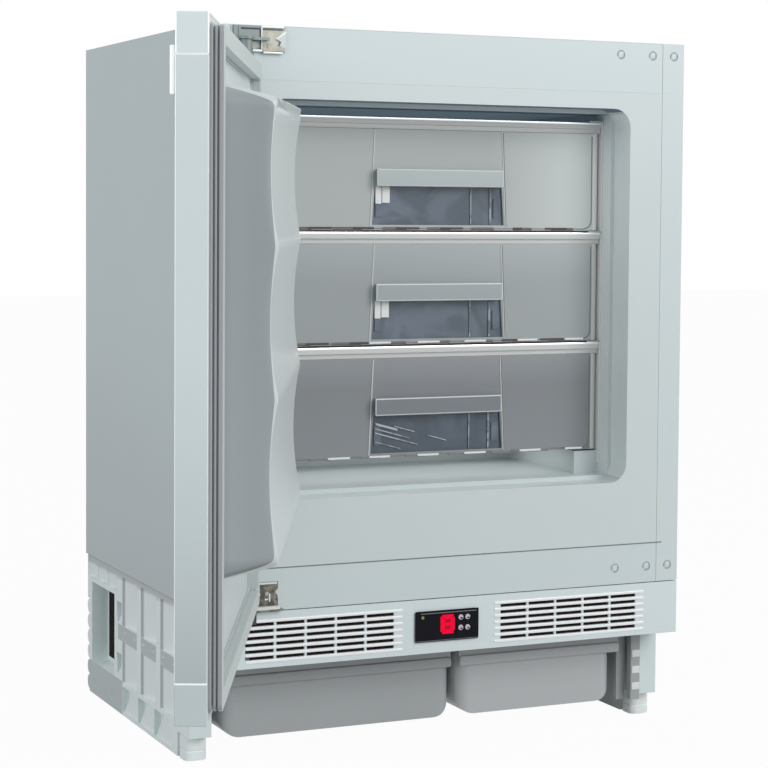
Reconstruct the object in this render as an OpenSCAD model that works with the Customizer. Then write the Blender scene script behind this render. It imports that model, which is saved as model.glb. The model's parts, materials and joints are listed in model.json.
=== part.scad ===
// Undercounter freezer: ribbed base, insulated cabinet, hinged door and three drawers.
// Millimetres, +Z up, front towards -Y. The origin is on the floor under the cabinet's middle.
// Modules are drawn with the front face of the cabinet at y = 0 and moved back by placed().

/* [Cabinet] */
// Overall width of the cabinet
body_width = 598; // [560:1:620]
// Height of the cabinet top above the floor
body_height = 812; // [800:1:850]
// Depth from the front face to the back panel
body_depth = 455; // [440:1:520]
// Height of the underside of the insulated cabinet
body_bottom = 174; // [174:1:180]
// Thickness of the sheet steel wrap
sheet = 0.8; // [0.6:0.1:1.2]
// Width of the front flanges of the wrap
flange_width = 29; // [26:1:32]
// Height of the trim strip above the liner
top_strip_height = 58; // [54:1:62]
// Height of the trim strip below the liner
bottom_strip_height = 47; // [45:1:52]
// Thickness of both trim strips
strip_thickness = 2.5; // [2:0.5:4]
// Diameter of the screw covers
cap_diameter = 11; // [9:0.5:12]

/* [Liner] */
// Thickness of the moulded liner
liner_wall = 2; // [1.5:0.25:3]
// Distance from the sides of the cabinet to the opening
side_rail = 72; // [70:1:78]
// Distance from the underside of the cabinet to the opening
bottom_rail = 121; // [118:1:124]
// Distance from the top of the cabinet to the opening
top_rail = 78; // [74:1:80]
// Corner radius of the opening
opening_radius = 22; // [12:1:30]
// Depth of the wider entry of the opening
entry_depth = 36; // [30:1:40]
// Step from the entry to the compartment walls
entry_step = 5; // [3:0.5:6]
// Depth of the compartment
cavity_depth = 395; // [380:1:400]
// Height of the raised floor over the compressor
floor_rise = 20; // [10:1:24]

/* [Door] */
// Distance from the sides of the cabinet to the door's edges
door_side_gap = 39; // [36:1:44]
// Distance from the underside of the cabinet to the door's lower edge
door_bottom_gap = 6; // [6:0.5:9]
// Distance from the top of the cabinet to the door's upper edge
door_top_gap = 35; // [34:1:40]
// Thickness of the door without its plug
door_thickness = 28; // [24:1:34]
// Gap between the cabinet face and the closed door
door_gap = 12; // [10:0.5:14]
// Angle at which the door stands open
door_angle = 114.2; // [90:0.1:118]
// Height of the end caps of the door
cap_height = 36; // [30:1:42]
// Distance of the gasket from the door's edges
gasket_inset = 8; // [6:0.5:10]
// Width of the gasket
gasket_width = 20; // [16:1:20]
// Clearance between the gasket and the cabinet
gasket_clearance = 0.3; // [0.2:0.1:1]
// Depth of the door plug at its ridges
plug_depth = 56; // [50:0.5:56]
// Depth of the scallops between the ridges
scallop_depth = 7; // [4:0.5:10]
// Distance from the lower edge of the opening down to the plug's lower end
plug_drop = 2; // [0:0.5:2]
// Distance from the upper edge of the opening down to the plug's upper end
plug_top_gap = 12; // [8:1:16]
// Taper of the plug's sides
plug_taper = 16; // [8:1:18]
// Corner radius of the plug
plug_radius = 34; // [34:1:40]
// Gap between the closed door's plug and the handles of the drawers
plug_clearance = 2; // [1.5:0.5:6]

/* [Shelves and drawers] */
// Distance from the top shelf trim's lower edge to the top of the opening
top_space = 27; // [24:1:30]
// Height of the shelf trims
trim_height = 13; // [10:1:16]
// Thickness of the evaporator plates
plate_thickness = 1.2; // [1:0.1:2]
// Radius of the evaporator tube
tube_radius = 4; // [3:0.25:4.5]
// Distance from the lower edge of the opening to the lowest drawer's floor
drawer_rise = 37; // [36:1:40]
// Distance from a shelf trim's top to the drawer's floor above it
drawer_lift = 5; // [4.5:0.5:7]
// Distance from a drawer's top to the shelf trim above it
drawer_headroom = 0.6; // [0.6:0.2:8]
// Distance from the compartment's walls to the drawers
drawer_side_gap = 9; // [8:1:14]
// Distance from the drawers to the rear wall of the compartment
drawer_back_gap = 17; // [14:1:40]
// Wall thickness of the drawers
drawer_wall = 2.5; // [2:0.25:3.5]
// Width of the middle part of the drawer front
centre_width = 168; // [150:1:180]
// Height of the handle bar
handle_height = 20; // [16:1:24]
// Reach of the handle in front of the drawer
handle_reach = 10; // [8:0.5:10]
// Clearance between a drawer and what carries it
drawer_clearance = 0.3; // [0.2:0.1:0.6]

/* [Base] */
// Distance from the front face to the base
base_front = 46; // [44:1:50]
// Distance from the back panel to the base
base_back_gap = 9; // [8:1:15]
// Thickness of the base sides
base_side = 26; // [24:1:30]
// Depth of the moulded pockets
pocket_depth = 12; // [8:0.5:14]
// Distance between the moulded pockets
pocket_pitch = 74; // [70:1:75]
// Width of the ribs between the pockets
pocket_rib = 16; // [10:1:20]
// Height of the plinth panel's lower edge
plinth_bottom = 111; // [105:1:114]
// Thickness of the plinth panel
plinth_wall = 3; // [2.5:0.25:4]
// Number of grille rows
grille_rows = 6; // [4:1:6]
// Distance between the grille rows
grille_pitch = 7.4; // [7:0.1:7.6]
// Height of a grille slot
grille_slot = 3.8; // [3:0.2:4.5]
// Width of the front feet
foot_width = 26; // [24:1:28]
// Depth of the front feet
foot_depth = 38; // [30:1:38]
// Height of the front feet
foot_height = 27.5; // [24:0.5:28]
// Height of the lower edge of the toe trays
tray_bottom = 24; // [15:1:30]

/* [Hinges] */
// Radius of the hinge pins
pin_radius = 3.5; // [3:0.25:4]
// Running clearance of the hinge pins
pin_clearance = 0.05; // [0.02:0.01:0.1]
// Thickness of the hinge plates
hinge_plate = 3; // [2:0.5:4]

/* [Controller] */
// Width of the controller's bezel
bezel_width = 74; // [70:1:80]
// Height of the controller's bezel
bezel_height = 32; // [28:1:34]
// Diameter of the push buttons
button_diameter = 6; // [5:0.25:7]
// Travel of the push buttons
button_travel = 1; // [0.6:0.1:1.5]

/* [Machine compartment] */
// Radius of the compressor shell
compressor_radius = 64; // [56:1:66]
// Height of the compressor shell
compressor_height = 168; // [150:1:175]
// Radius of the fan
fan_radius = 48; // [40:1:52]
// Number of fan blades
fan_blade_count = 5; // [3:1:7]

/* [Hidden] */

$fn = 0;
$fa = 6;
$fs = 0.6;

half = body_width / 2;
inner_half = half - flange_width - 0.5;
strip_low_z = body_bottom + bottom_strip_height;
strip_high_z = body_height - top_strip_height;
base_rear = body_depth - base_back_gap;
beam_depth = 26;
compressor_y = base_rear - beam_depth - 2 - compressor_radius;
hump_y = compressor_y - compressor_radius - 2;
floor_rise_y = hump_y - 50;
opening_half = half - side_rail;
opening_bottom = body_bottom + bottom_rail;
opening_top = body_height - top_rail;
hump_z = opening_bottom + floor_rise - 62;
cavity_half = opening_half - entry_step;
floor_low = opening_bottom + entry_step;
floor_high = floor_low + floor_rise;
ceiling_z = opening_top - entry_step;

door_half = half - door_side_gap;
door_bottom = body_bottom + door_bottom_gap;
door_top = body_height - door_top_gap;
plug_bottom = opening_bottom - plug_drop;
plug_top = opening_top - plug_top_gap;
door_front = -door_gap - door_thickness;
pivot_x = -door_half + 1.84;
pivot_y = -door_gap - 5.32;
top_pin_z = door_top + 6;
arm_z = body_bottom - 4;
screw_z = body_height - 22;

drawer_z = opening_bottom + drawer_rise;
drawer_foot = trim_height + drawer_lift;
shelf_pitch = (opening_top - top_space - drawer_z + drawer_foot) / 3;
trim_z = drawer_z + shelf_pitch - drawer_foot;
shelf_zs = [trim_z, trim_z + shelf_pitch, trim_z + 2 * shelf_pitch];
drawer_zs = [drawer_z, drawer_z + shelf_pitch, drawer_z + 2 * shelf_pitch];
drawer_front = plug_depth - door_gap + plug_clearance + handle_reach;
drawer_half = cavity_half - drawer_side_gap;
drawer_depth = cavity_depth - drawer_back_gap - drawer_front;
drawer_height = shelf_pitch - drawer_foot - drawer_headroom;
trim_y = drawer_front - 2;
window_top_z = 47;
ledge_z = trim_z + trim_height - shelf_pitch;
runner_height = drawer_z - ledge_z - drawer_clearance;
plate_front = trim_y + 6;
plate_back = cavity_depth - 12;
fan_x = -30;
fan_y = base_rear - 88;
fan_z = 95;
compressor_x = half - 175;
tray_z = 16;
tray_top = tray_z + 2;
compressor_z = tray_top + 12;
coil_xs = [-half + 89, -half + 111, -half + 133];
coil_front = base_rear - 140;
coil_back = base_rear - 40;
coil_z = 42;
coil_rows = 6;
coil_step = 18;
coil_top = coil_z + (coil_rows - 1) * coil_step;
drier_x = coil_xs[2] + 41;
drier_y = base_rear - 20;
inlet_x = -half + 100;
bezel_x = -9;
bezel_z = 143.5;
button_face = -2.4;
cap_points = [
  [half - 86, body_height - 15], [half - 43, body_height - 15], [half - 14, body_height - 15],
  [half - 86, body_bottom + 19], [half - 43, body_bottom + 19], [half - 14, body_bottom + 19]
];

// Moves a drawing made at the cabinet's front face to the middle of the footprint.
module placed() {
  translate([0, -body_depth / 2, 0]) children();
}

// Moves a drawing of the closed door to its open position.
module on_door() {
  placed() translate([pivot_x, pivot_y, 0]) rotate([0, 0, -door_angle])
    translate([-pivot_x, -pivot_y, 0]) children();
}

// Box between two corners.
module span(a, b) {
  translate(a) cube(b - a);
}

// Flat rounded rectangle from x0 to x1 and y0 to y1.
module rounded(x0, x1, y0, y1, r) {
  translate([x0 + r, y0]) square([x1 - x0 - 2 * r, y1 - y0]);
  translate([x0, y0 + r]) square([x1 - x0, y1 - y0 - 2 * r]);
  for (x = [x0 + r, x1 - r])
    for (y = [y0 + r, y1 - r])
      translate([x, y]) circle(r);
}

// Draws a flat shape of x and z from y0 to y1.
module facing(y0, y1) {
  translate([0, y1, 0]) rotate([90, 0, 0]) linear_extrude(y1 - y0) children();
}

// Draws a flat shape of y and z from x0 to x1.
module sideways(x0, x1) {
  translate([x0, 0, 0]) rotate([90, 0, 90]) linear_extrude(x1 - x0) children();
}

// Rod between two points.
module rod(a, b, r) {
  d = b - a;
  translate(a)
    rotate([0, acos(d[2] / norm(d)), atan2(d[1], d[0])])
      cylinder(h = norm(d), r = r);
}

// Rod through a list of points with ball corners.
module pipe(points, r) {
  for (i = [0 : len(points) - 2])
    rod(points[i], points[i + 1], r);
  for (i = [1 : len(points) - 2])
    translate(points[i]) sphere(r + 0.4);
}

module outer_shell() {
  color([0.72, 0.75, 0.77]) placed() {
    difference() {
      span([-half, 0, body_bottom], [half, body_depth - sheet, body_height]);
      span([-half + sheet, -1, body_bottom - 1],
        [half - sheet, body_depth, body_height - sheet]);
    }
    for (s = [-1, 1])
      difference() {
        translate([s * (half - flange_width / 2) - flange_width / 2, 0, body_bottom])
          cube([flange_width, sheet, body_height - body_bottom]);
        for (p = cap_points)
          facing(-1, sheet + 1) translate(p) circle(cap_diameter / 2);
      }
  }
}

module back_panel() {
  color([0.7, 0.72, 0.73]) placed()
    span([-half, body_depth - sheet, body_bottom], [half, body_depth, body_height]);
}

module bottom_pan() {
  color([0.6, 0.62, 0.63]) placed() sideways(-half + sheet, half - sheet)
    polygon([
      [strip_thickness, body_bottom], [hump_y, body_bottom], [hump_y, hump_z - sheet],
      [body_depth - sheet, hump_z - sheet], [body_depth - sheet, hump_z],
      [hump_y - sheet, hump_z], [hump_y - sheet, body_bottom + sheet],
      [strip_thickness, body_bottom + sheet]
    ]);
}

// Compartment with its entry, grown on every side by a wall.
module cavity_form(wall) {
  facing(liner_wall, entry_depth + wall)
    rounded(-opening_half - wall, opening_half + wall,
      opening_bottom - wall, opening_top + wall, opening_radius + wall);
  difference() {
    span([-cavity_half - wall, entry_depth - 1, floor_low - wall],
      [cavity_half + wall, cavity_depth + wall, ceiling_z + wall]);
    span([-half, floor_rise_y + wall, floor_low - 2 * wall - 5],
      [half, cavity_depth + wall + 5, floor_high - wall]);
  }
}

module cabinet_foam() {
  color([0.93, 0.88, 0.7]) placed() difference() {
    span([-half + sheet, sheet, body_bottom + sheet],
      [half - sheet, body_depth - sheet, body_height - sheet]);
    cavity_form(liner_wall);
    span([-half, hump_y - sheet, body_bottom - 1], [half, body_depth, hump_z]);
    span([-inner_half, -1, strip_low_z], [inner_half, liner_wall, strip_high_z]);
    span([-inner_half, -1, strip_high_z], [inner_half, strip_thickness, body_height]);
    span([-inner_half, -1, body_bottom], [inner_half, strip_thickness, strip_low_z]);
    span([-inner_half, -1, body_height - sheet - strip_thickness],
      [inner_half, 20, body_height]);
    for (p = cap_points)
      facing(-1, strip_thickness - 1) translate(p) circle(cap_diameter / 2);
  }
}

// Ledges that carry the drawer runners at both sides of the lowest drawer.
module liner_ledges() {
  for (s = [-1, 1])
    translate([s * (cavity_half - 16) - 16, 0, 0]) {
      span([0, trim_y + 6, floor_low - 1], [32, floor_rise_y, ledge_z]);
      span([0, floor_rise_y - 1, floor_high - 1], [32, cavity_depth, ledge_z]);
    }
}

module inner_liner() {
  color([0.9, 0.92, 0.92]) placed() {
    difference() {
      union() {
        facing(0, liner_wall) polygon([
          [-inner_half, strip_low_z], [inner_half, strip_low_z],
          [inner_half, strip_high_z], [-inner_half, strip_high_z]
        ]);
        cavity_form(liner_wall);
      }
      facing(-1, entry_depth)
        rounded(-opening_half, opening_half, opening_bottom, opening_top, opening_radius);
      difference() {
        span([-cavity_half, entry_depth - 2, floor_low],
          [cavity_half, cavity_depth, ceiling_z]);
        span([-half, floor_rise_y, floor_low - 5], [half, cavity_depth + 5, floor_high]);
      }
    }
    liner_ledges();
  }
}

module top_strip() {
  color([0.9, 0.92, 0.92]) placed() difference() {
    union() {
      span([-inner_half, 0, strip_high_z], [inner_half, strip_thickness, body_height - sheet]);
      span([-inner_half, 0, body_height - sheet - strip_thickness],
        [inner_half, 20, body_height - sheet]);
    }
    for (p = cap_points)
      facing(-1, strip_thickness - 1) translate(p) circle(cap_diameter / 2);
  }
}

module bottom_strip() {
  color([0.9, 0.92, 0.92]) placed() difference() {
    span([-inner_half, 0, body_bottom], [inner_half, strip_thickness, strip_low_z]);
    for (p = cap_points)
      facing(-1, strip_thickness - 1) translate(p) circle(cap_diameter / 2);
    span([-inner_half - 1, -1, body_bottom - 1], [-half + 92, 5, body_bottom + 32]);
  }
}

module screw_caps() {
  color([0.88, 0.9, 0.9]) placed()
    for (p = cap_points)
      translate([p[0], strip_thickness - 1, p[1]]) rotate([90, 0, 0])
        cylinder(h = strip_thickness - 0.9, r = cap_diameter / 2 - 0.2);
}

module shelf_brackets() {
  color([0.85, 0.87, 0.88]) placed()
    for (z = shelf_zs)
      for (s = [-1, 1])
        for (y = [trim_y + 16, cavity_depth - 60])
          translate([s * (cavity_half - 4) - 4, y, z + trim_height - plate_thickness - 8])
            cube([8, 34, 8]);
}

// One plate with its serpentine tube.
module evaporator_level(z) {
  step = 40;
  passes = floor((plate_back - plate_front - 20 - tube_radius) / step) + 1;
  tube_z = z - plate_thickness - tube_radius - 0.2;
  reach = cavity_half - 34;
  span([-cavity_half + 1, plate_front, z - plate_thickness], [cavity_half - 1, plate_back, z]);
  for (i = [0 : passes - 1])
    translate([-reach, plate_front + 20 + i * step, tube_z]) rotate([0, 90, 0])
      cylinder(h = 2 * reach, r = tube_radius);
  for (i = [0 : passes - 2])
    translate([i % 2 == 0 ? reach : -reach, plate_front + 20 + (i + 0.5) * step, tube_z])
      rotate([0, 0, i % 2 == 0 ? -90 : 90])
        rotate_extrude(angle = 180) translate([step / 2, 0]) circle(tube_radius);
}

module evaporator() {
  color([0.78, 0.8, 0.82]) placed() {
    for (z = shelf_zs)
      evaporator_level(z + trim_height);
    for (z = [shelf_zs[0], shelf_zs[1]])
      translate([-cavity_half + 12, plate_back - 8, z + trim_height + 0.1])
        cylinder(h = shelf_pitch - plate_thickness - 0.2, r = tube_radius - 1);
  }
}

module shelf_trims() {
  color([0.92, 0.93, 0.92]) placed()
    for (z = shelf_zs)
      difference() {
        union() {
          span([-cavity_half + 3, trim_y, z + 5], [cavity_half - 3, trim_y + 14, z + trim_height]);
          span([-cavity_half + 3, trim_y + 3, z], [cavity_half - 3, trim_y + 14, z + 5]);
        }
        span([-cavity_half, plate_front - 0.2, z + trim_height - plate_thickness - 0.1],
          [cavity_half, trim_y + 15, z + trim_height + 0.1]);
        span([-cavity_half, trim_y + 10, z - 1],
          [cavity_half, trim_y + 15, z + trim_height - plate_thickness]);
      }
}

module shelf_clips() {
  color([0.5, 0.5, 0.5]) placed()
    for (z = shelf_zs)
      span([cavity_half - 19, trim_y + 1, z + trim_height],
        [cavity_half - 1, trim_y + 12, z + trim_height + 1.5]);
}

// Cuts a pocket that is deep at its front end and runs out to the face at its rear end.
module ramp(y0, y1, z0, z1) {
  translate([0, 0, z0]) linear_extrude(z1 - z0) polygon([
    [-half - 1, y0], [-half + pocket_depth, y0], [-half + 0.5, y1], [-half - 1, y1]
  ]);
}

// Left side of the base with its moulded ribs.
module base_side_form() {
  top = body_bottom - 6;
  recess_front = base_rear - 116;
  recess_back = base_rear - 19;
  difference() {
    union() {
      span([-half, base_front, 0], [-half + base_side, base_rear - 8, body_bottom - 0.2]);
      span([-half, base_rear - 9, 119], [-half + base_side, base_rear, body_bottom - 0.2]);
      for (i = [0 : 5])
        translate([-half, base_rear - 8, 12 + i * 19.4]) rotate([0, 90, 0])
          cylinder(h = base_side, r = 9.2);
    }
    for (i = [0 : 2]) {
      front = base_front + 45 + i * pocket_pitch;
      back = front + pocket_pitch - pocket_rib;
      ramp(front, back, 109, top);
      ramp(front, back, 39, 90);
      for (y = [front + 7, front + 47])
        sideways(-half - 1, -half + 3) translate([y, 98]) square([5, 6]);
      ramp(recess_front - 7 + i * 43, recess_front + 27 + i * 43, 147, top);
    }
    for (z = [109, 46])
      sideways(-half - 1, -half + 6) polygon([
        [recess_front - 14, z], [recess_front - 30, z + 14],
        [recess_front - 30, z + 27], [recess_front - 10, z + 27]
      ]);
    span([-half - 1, recess_front, 41], [-half + base_side - 4.5, recess_back, 142]);
    span([-half, recess_back - 29, 62], [-half + base_side + 1, recess_back - 3, 136]);
    for (i = [0 : 2])
      sideways(-half - 1, -half + 2.5) polygon([
        [base_front + 63 + i * 62.5, 4], [base_front + 63 + i * 62.5, 35],
        [base_front + 125 + i * 62.5, 35], [base_front + 125 + i * 62.5, 4]
      ]);
    for (i = [0 : 2])
      sideways(-half - 1, -half + 8) polygon([
        [base_front + 95 + i * 62.5, 35], [base_front + 125 + i * 62.5, 35],
        [base_front + 125 + i * 62.5, 4]
      ]);
    for (y = [recess_front + 7, recess_front + 81])
      sideways(-half - 1, -half + 6) rounded(y, y + 6, 10, 22, 2.5);
    for (i = [0 : 4])
      sideways(-half + base_side - 8, -half + base_side + 1)
        translate([base_front + 4, 34 + i * 19]) square([20, 10]);
    span([-half - 1, base_front - 1, -1], [-half + base_side + 1, base_front + 40, 28]);
    translate([-half + foot_width / 2, base_front + 20, 20]) cylinder(h = 60, r = 6.3);
  }
}

module base_frame() {
  color([0.84, 0.87, 0.86]) placed() difference() {
    union() {
      base_side_form();
      mirror([1, 0, 0]) base_side_form();
      span([-half + 10, base_rear - beam_depth, 0], [half - 10, base_rear, 36]);
      span([-half + 10, base_front + 16, 98], [half - 10, base_front + 28, 110]);
      for (s = [-1, 1])
        translate([s * (half - 31) - 6, 0, 0])
          span([0, hump_y - 30, 12.5], [12, base_rear - 20, 16]);
      span([inlet_x - 31, base_rear - 12, 35], [inlet_x + 39, base_rear, 100]);
    }
    span([inlet_x - 15, base_rear - 13, 62], [inlet_x + 15, base_rear + 1, 86]);
  }
}

// One grille of slots from x0 to x1.
module grille(x0, x1) {
  bars = 5;
  pitch = (x1 - x0) / bars;
  for (r = [0 : grille_rows - 1])
    for (c = [0 : bars - 1])
      translate([x0 + c * pitch + 1.5, plinth_bottom + 9.5 + r * grille_pitch])
        square([pitch - 3, grille_slot]);
}

module plinth_panel() {
  top = body_bottom - 1;
  color([0.88, 0.9, 0.9]) placed() difference() {
    union() {
      span([-half, 0, plinth_bottom], [half, plinth_wall, top]);
      span([-half, 0, top - plinth_wall], [half, base_front, top]);
      span([-half, 0, plinth_bottom], [half, 14, plinth_bottom + plinth_wall]);
      for (s = [-1, 1])
        translate([s * (half - plinth_wall / 2) - plinth_wall / 2, 0, plinth_bottom])
          cube([plinth_wall, base_front, top - plinth_bottom]);
    }
    facing(-1, plinth_wall + 1) {
      grille(-half + 47, bezel_x - bezel_width / 2 - 20);
      grille(bezel_x + bezel_width / 2 + 26, half - 51);
      translate([bezel_x - bezel_width / 2 + 3, bezel_z - bezel_height / 2 + 3])
        square([bezel_width - 6, bezel_height - 6]);
    }
    span([pivot_x - 16, -1, arm_z - 1], [pivot_x + 16, 8, body_bottom]);
  }
}

module controller_bezel() {
  x0 = bezel_x - bezel_width / 2;
  z0 = bezel_z - bezel_height / 2;
  color([0.06, 0.06, 0.07]) placed() difference() {
    union() {
      facing(-2, 0) rounded(x0, x0 + bezel_width, z0, z0 + bezel_height, 1.5);
      facing(-0.5, 30) translate([x0 + 3.2, z0 + 3.2])
        square([bezel_width - 6.4, bezel_height - 6.4]);
    }
    facing(-3, -1.2) translate([x0 + 3, z0 + 2.5]) square([48, bezel_height - 7]);
    for (p = button_points())
      translate([p[0], -3, p[1]]) rotate([-90, 0, 0])
        cylinder(h = 9.2, r = button_diameter / 2 + 0.08);
  }
}

// Centres of the push buttons in x and z.
function button_points() = [
  for (z = [bezel_z + 7, bezel_z - 5])
    for (x = [bezel_x + 19.3, bezel_x + 28])
      [x, z]
];

module controller_display() {
  x = bezel_x - 6;
  z = bezel_z - 10;
  color([1, 0.05, 0.12]) placed() facing(-1.6, -1.2) {
    for (s = [0, 10.4]) {
      translate([x + s, z + 1.6]) square([3.4, 8]);
      translate([x + s, z + 10.8]) square([3.4, 8]);
    }
    for (h = [0, 17.6])
      translate([x + 2.4, z + h]) square([9, 2.8]);
    translate([bezel_x - 28.3, bezel_z + 9.2]) circle(1.7);
  }
}

// Push button with its stem.
module push_button(i) {
  p = button_points()[i];
  color([0.85, 0.84, 0.88]) placed() translate([p[0], button_face, p[1]])
    rotate([-90, 0, 0]) cylinder(h = 2.4 + 6 - button_travel, r = button_diameter / 2);
}

// Space of a tray with rounded corners, shrunk on every side by a wall.
module tray_form(x0, x1, wall) {
  front = base_front + 3 + wall;
  back = hump_y - 60 - wall;
  intersection() {
    translate([0, 0, tray_bottom + wall]) linear_extrude(100)
      rounded(x0 + wall, x1 - wall, front, back, 18 - wall);
    facing(front - 1, back + 1)
      rounded(x0 + wall, x1 - wall, tray_bottom + wall, 160, 24 - wall);
  }
}

// Open tray with a flange that hangs over the base's cross rail.
module toe_tray(x0, x1) {
  wall = 2.5;
  lip_z = 110.2;
  color([0.62, 0.64, 0.65]) placed() difference() {
    union() {
      difference() {
        tray_form(x0, x1, 0);
        tray_form(x0, x1, wall);
        span([x0 - 1, base_front, lip_z], [x1 + 1, hump_y, 200]);
      }
      span([x0 + 18, base_front + 3, lip_z - 0.1], [x1 - 18, base_front + 29, lip_z + wall]);
      span([x0 + 1, base_front + 3 + 17, lip_z - 0.1], [x1 - 1, base_front + 29, lip_z + wall]);
    }
    span([x0 - 1, base_front + 15.7, 94], [x1 + 1, base_front + 28.3, lip_z]);
  }
}

module toe_tray_left() {
  toe_tray(-half + base_side + 11, 24);
}

module toe_tray_right() {
  toe_tray(30, half - base_side - 33);
}

module top_hinge_bracket() {
  color([0.66, 0.65, 0.56]) placed() {
    difference() {
      union() {
        facing(-2.5, 0) polygon([
          [pivot_x - 9, body_height - 29], [-half + 91, body_height - 29],
          [-half + 84, body_height - 15], [-half + 91, body_height - 1],
          [pivot_x - 9, body_height - 1]
        ]);
        translate([0, 0, top_pin_z + 12])
          linear_extrude(hinge_plate) {
            translate([pivot_x, pivot_y]) circle(9);
            translate([pivot_x - 9, pivot_y]) square([18, -pivot_y - 1]);
            translate([pivot_x - 9, -12]) square([38, 11]);
          }
      }
      translate([pivot_x, pivot_y, 0]) cylinder(h = 900, r = pin_radius);
      for (x = [-half + 55, -half + 74])
        facing(-3, 1) translate([x, screw_z]) circle(2.6);
    }
  }
}

module bottom_hinge_bracket() {
  low = body_bottom + 0.3;
  color([0.66, 0.65, 0.56]) placed() {
    difference() {
      union() {
        facing(0.1, strip_thickness) polygon([
          [pivot_x - 9, arm_z], [pivot_x + 9, arm_z], [pivot_x + 9, low], [-half + 91, low],
          [-half + 91, low + 8], [-half + 84, low + 16], [-half + 91, low + 24],
          [-half + 91, low + 31], [pivot_x - 9, low + 31]
        ]);
        span([pivot_x + 9.5, -6, low], [-half + 91, strip_thickness, low + 2]);
        translate([0, 0, arm_z])
          linear_extrude(hinge_plate) {
            translate([pivot_x, pivot_y]) circle(9);
            translate([pivot_x - 9, pivot_y]) square([18, -pivot_y + strip_thickness]);
          }
      }
      translate([pivot_x, pivot_y, 0]) cylinder(h = 900, r = pin_radius);
      for (x = [-half + 55, -half + 74])
        facing(0, 3) translate([x, body_bottom + 19]) circle(2.6);
    }
  }
}

module hinge_pins() {
  color([0.7, 0.7, 0.7]) placed() translate([pivot_x, pivot_y, 0]) {
    translate([0, 0, top_pin_z]) cylinder(h = 12 + hinge_plate, r = pin_radius);
    translate([0, 0, arm_z]) cylinder(h = door_bottom - arm_z - 0.4, r = pin_radius);
  }
}

module hinge_screws() {
  color([0.7, 0.7, 0.7]) placed()
    for (x = [-half + 55, -half + 74]) {
      translate([x, -4.2, screw_z]) rotate([-90, 0, 0]) {
        cylinder(h = 1.7, r = 4.2);
        cylinder(h = 4.2, r = 2.5);
      }
      translate([x, 0.4, body_bottom + 19]) rotate([-90, 0, 0])
        cylinder(h = strip_thickness - 0.4, r = 2.5);
    }
}

module compressor_tray() {
  color([0.5, 0.52, 0.53]) placed() difference() {
    span([-half + 30, hump_y - 30, tray_z],
      [half - 30, base_rear - beam_depth - 1, tray_top]);
    for (i = [0 : 5])
      span([-half + 110 + i * 16, hump_y + 20, tray_z - 1],
        [-half + 118 + i * 16, base_rear - 45, tray_top + 1]);
  }
}

module compressor_grommets() {
  color([0.1, 0.1, 0.1]) placed()
    for (x = [-62, 62])
      for (y = [-42, 42])
        translate([compressor_x + x, compressor_y + y, tray_top]) cylinder(h = 10, r = 9);
}

module compressor() {
  r = compressor_radius;
  h = compressor_height;
  color([0.07, 0.07, 0.08]) placed() translate([compressor_x, compressor_y, 0]) {
    translate([0, 0, compressor_z]) rotate_extrude() {
      translate([0, 20]) square([r, h - 60]);
      square([r - 20, 30]);
      translate([r - 20, 20]) intersection() {
        circle(20);
        translate([0, -20]) square(20);
      }
      square([r - 40, h]);
      translate([r - 40, h - 40]) intersection() {
        circle(40);
        square(40);
      }
    }
    difference() {
      span([-74, -54, tray_top + 10], [74, 54, tray_top + 15]);
      for (x = [-74, 74])
        translate([x, 0, 0]) cylinder(h = 60, r = 22);
    }
  }
}

module terminal_box() {
  x = compressor_x - compressor_radius;
  color([0.12, 0.12, 0.13]) placed() difference() {
    span([x - 22, compressor_y - 24, 70], [x + 8, compressor_y + 24, 128]);
    translate([compressor_x, compressor_y, 0]) cylinder(h = 200, r = compressor_radius + 0.1);
  }
}

module condenser_coil() {
  color([0.08, 0.08, 0.09]) placed() {
    for (x = coil_xs) {
      for (i = [0 : coil_rows - 1])
        translate([x, coil_front, coil_z + i * coil_step]) rotate([-90, 0, 0])
          cylinder(h = coil_back - coil_front, r = 3);
      for (i = [0 : coil_rows - 2])
        translate([x, i % 2 == 0 ? coil_back : coil_front, coil_z + (i + 0.5) * coil_step])
          rotate([0, 90, 0]) rotate([0, 0, i % 2 == 0 ? 0 : 180])
            rotate_extrude(angle = 180) translate([coil_step / 2, 0]) circle(3);
    }
    for (y = [coil_front + 10 : 16 : coil_back - 10])
      span([coil_xs[0] - 8, y, tray_top], [coil_xs[2] + 8, y + 1, coil_top + 6]);
  }
}

module fan_motor() {
  drop = fan_z - tray_top;
  color([0.14, 0.14, 0.15]) placed() translate([fan_x, fan_y, fan_z]) rotate([0, -90, 0]) {
    translate([0, 0, -44]) cylinder(h = 36, r = 26);
    translate([0, 0, -9]) cylinder(h = 27, r = 3);
    translate([-drop, -9, -48]) cube([drop, 18, 5]);
    translate([-drop, -9, -48]) cube([3, 18, 40]);
  }
}

module fan_blades() {
  color([0.2, 0.2, 0.21]) placed() translate([fan_x, fan_y, fan_z]) rotate([0, -90, 0])
    difference() {
      union() {
        translate([0, 0, -2]) cylinder(h = 18, r = 11);
        for (i = [0 : fan_blade_count - 1])
          rotate([0, 0, i * 360 / fan_blade_count]) translate([9, 0, 7]) rotate([32, 0, 0])
            translate([0, -12, -0.8]) cube([fan_radius - 9, 24, 1.6]);
      }
      translate([0, 0, -3]) cylinder(h = 20, r = 3.05);
    }
}

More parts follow.
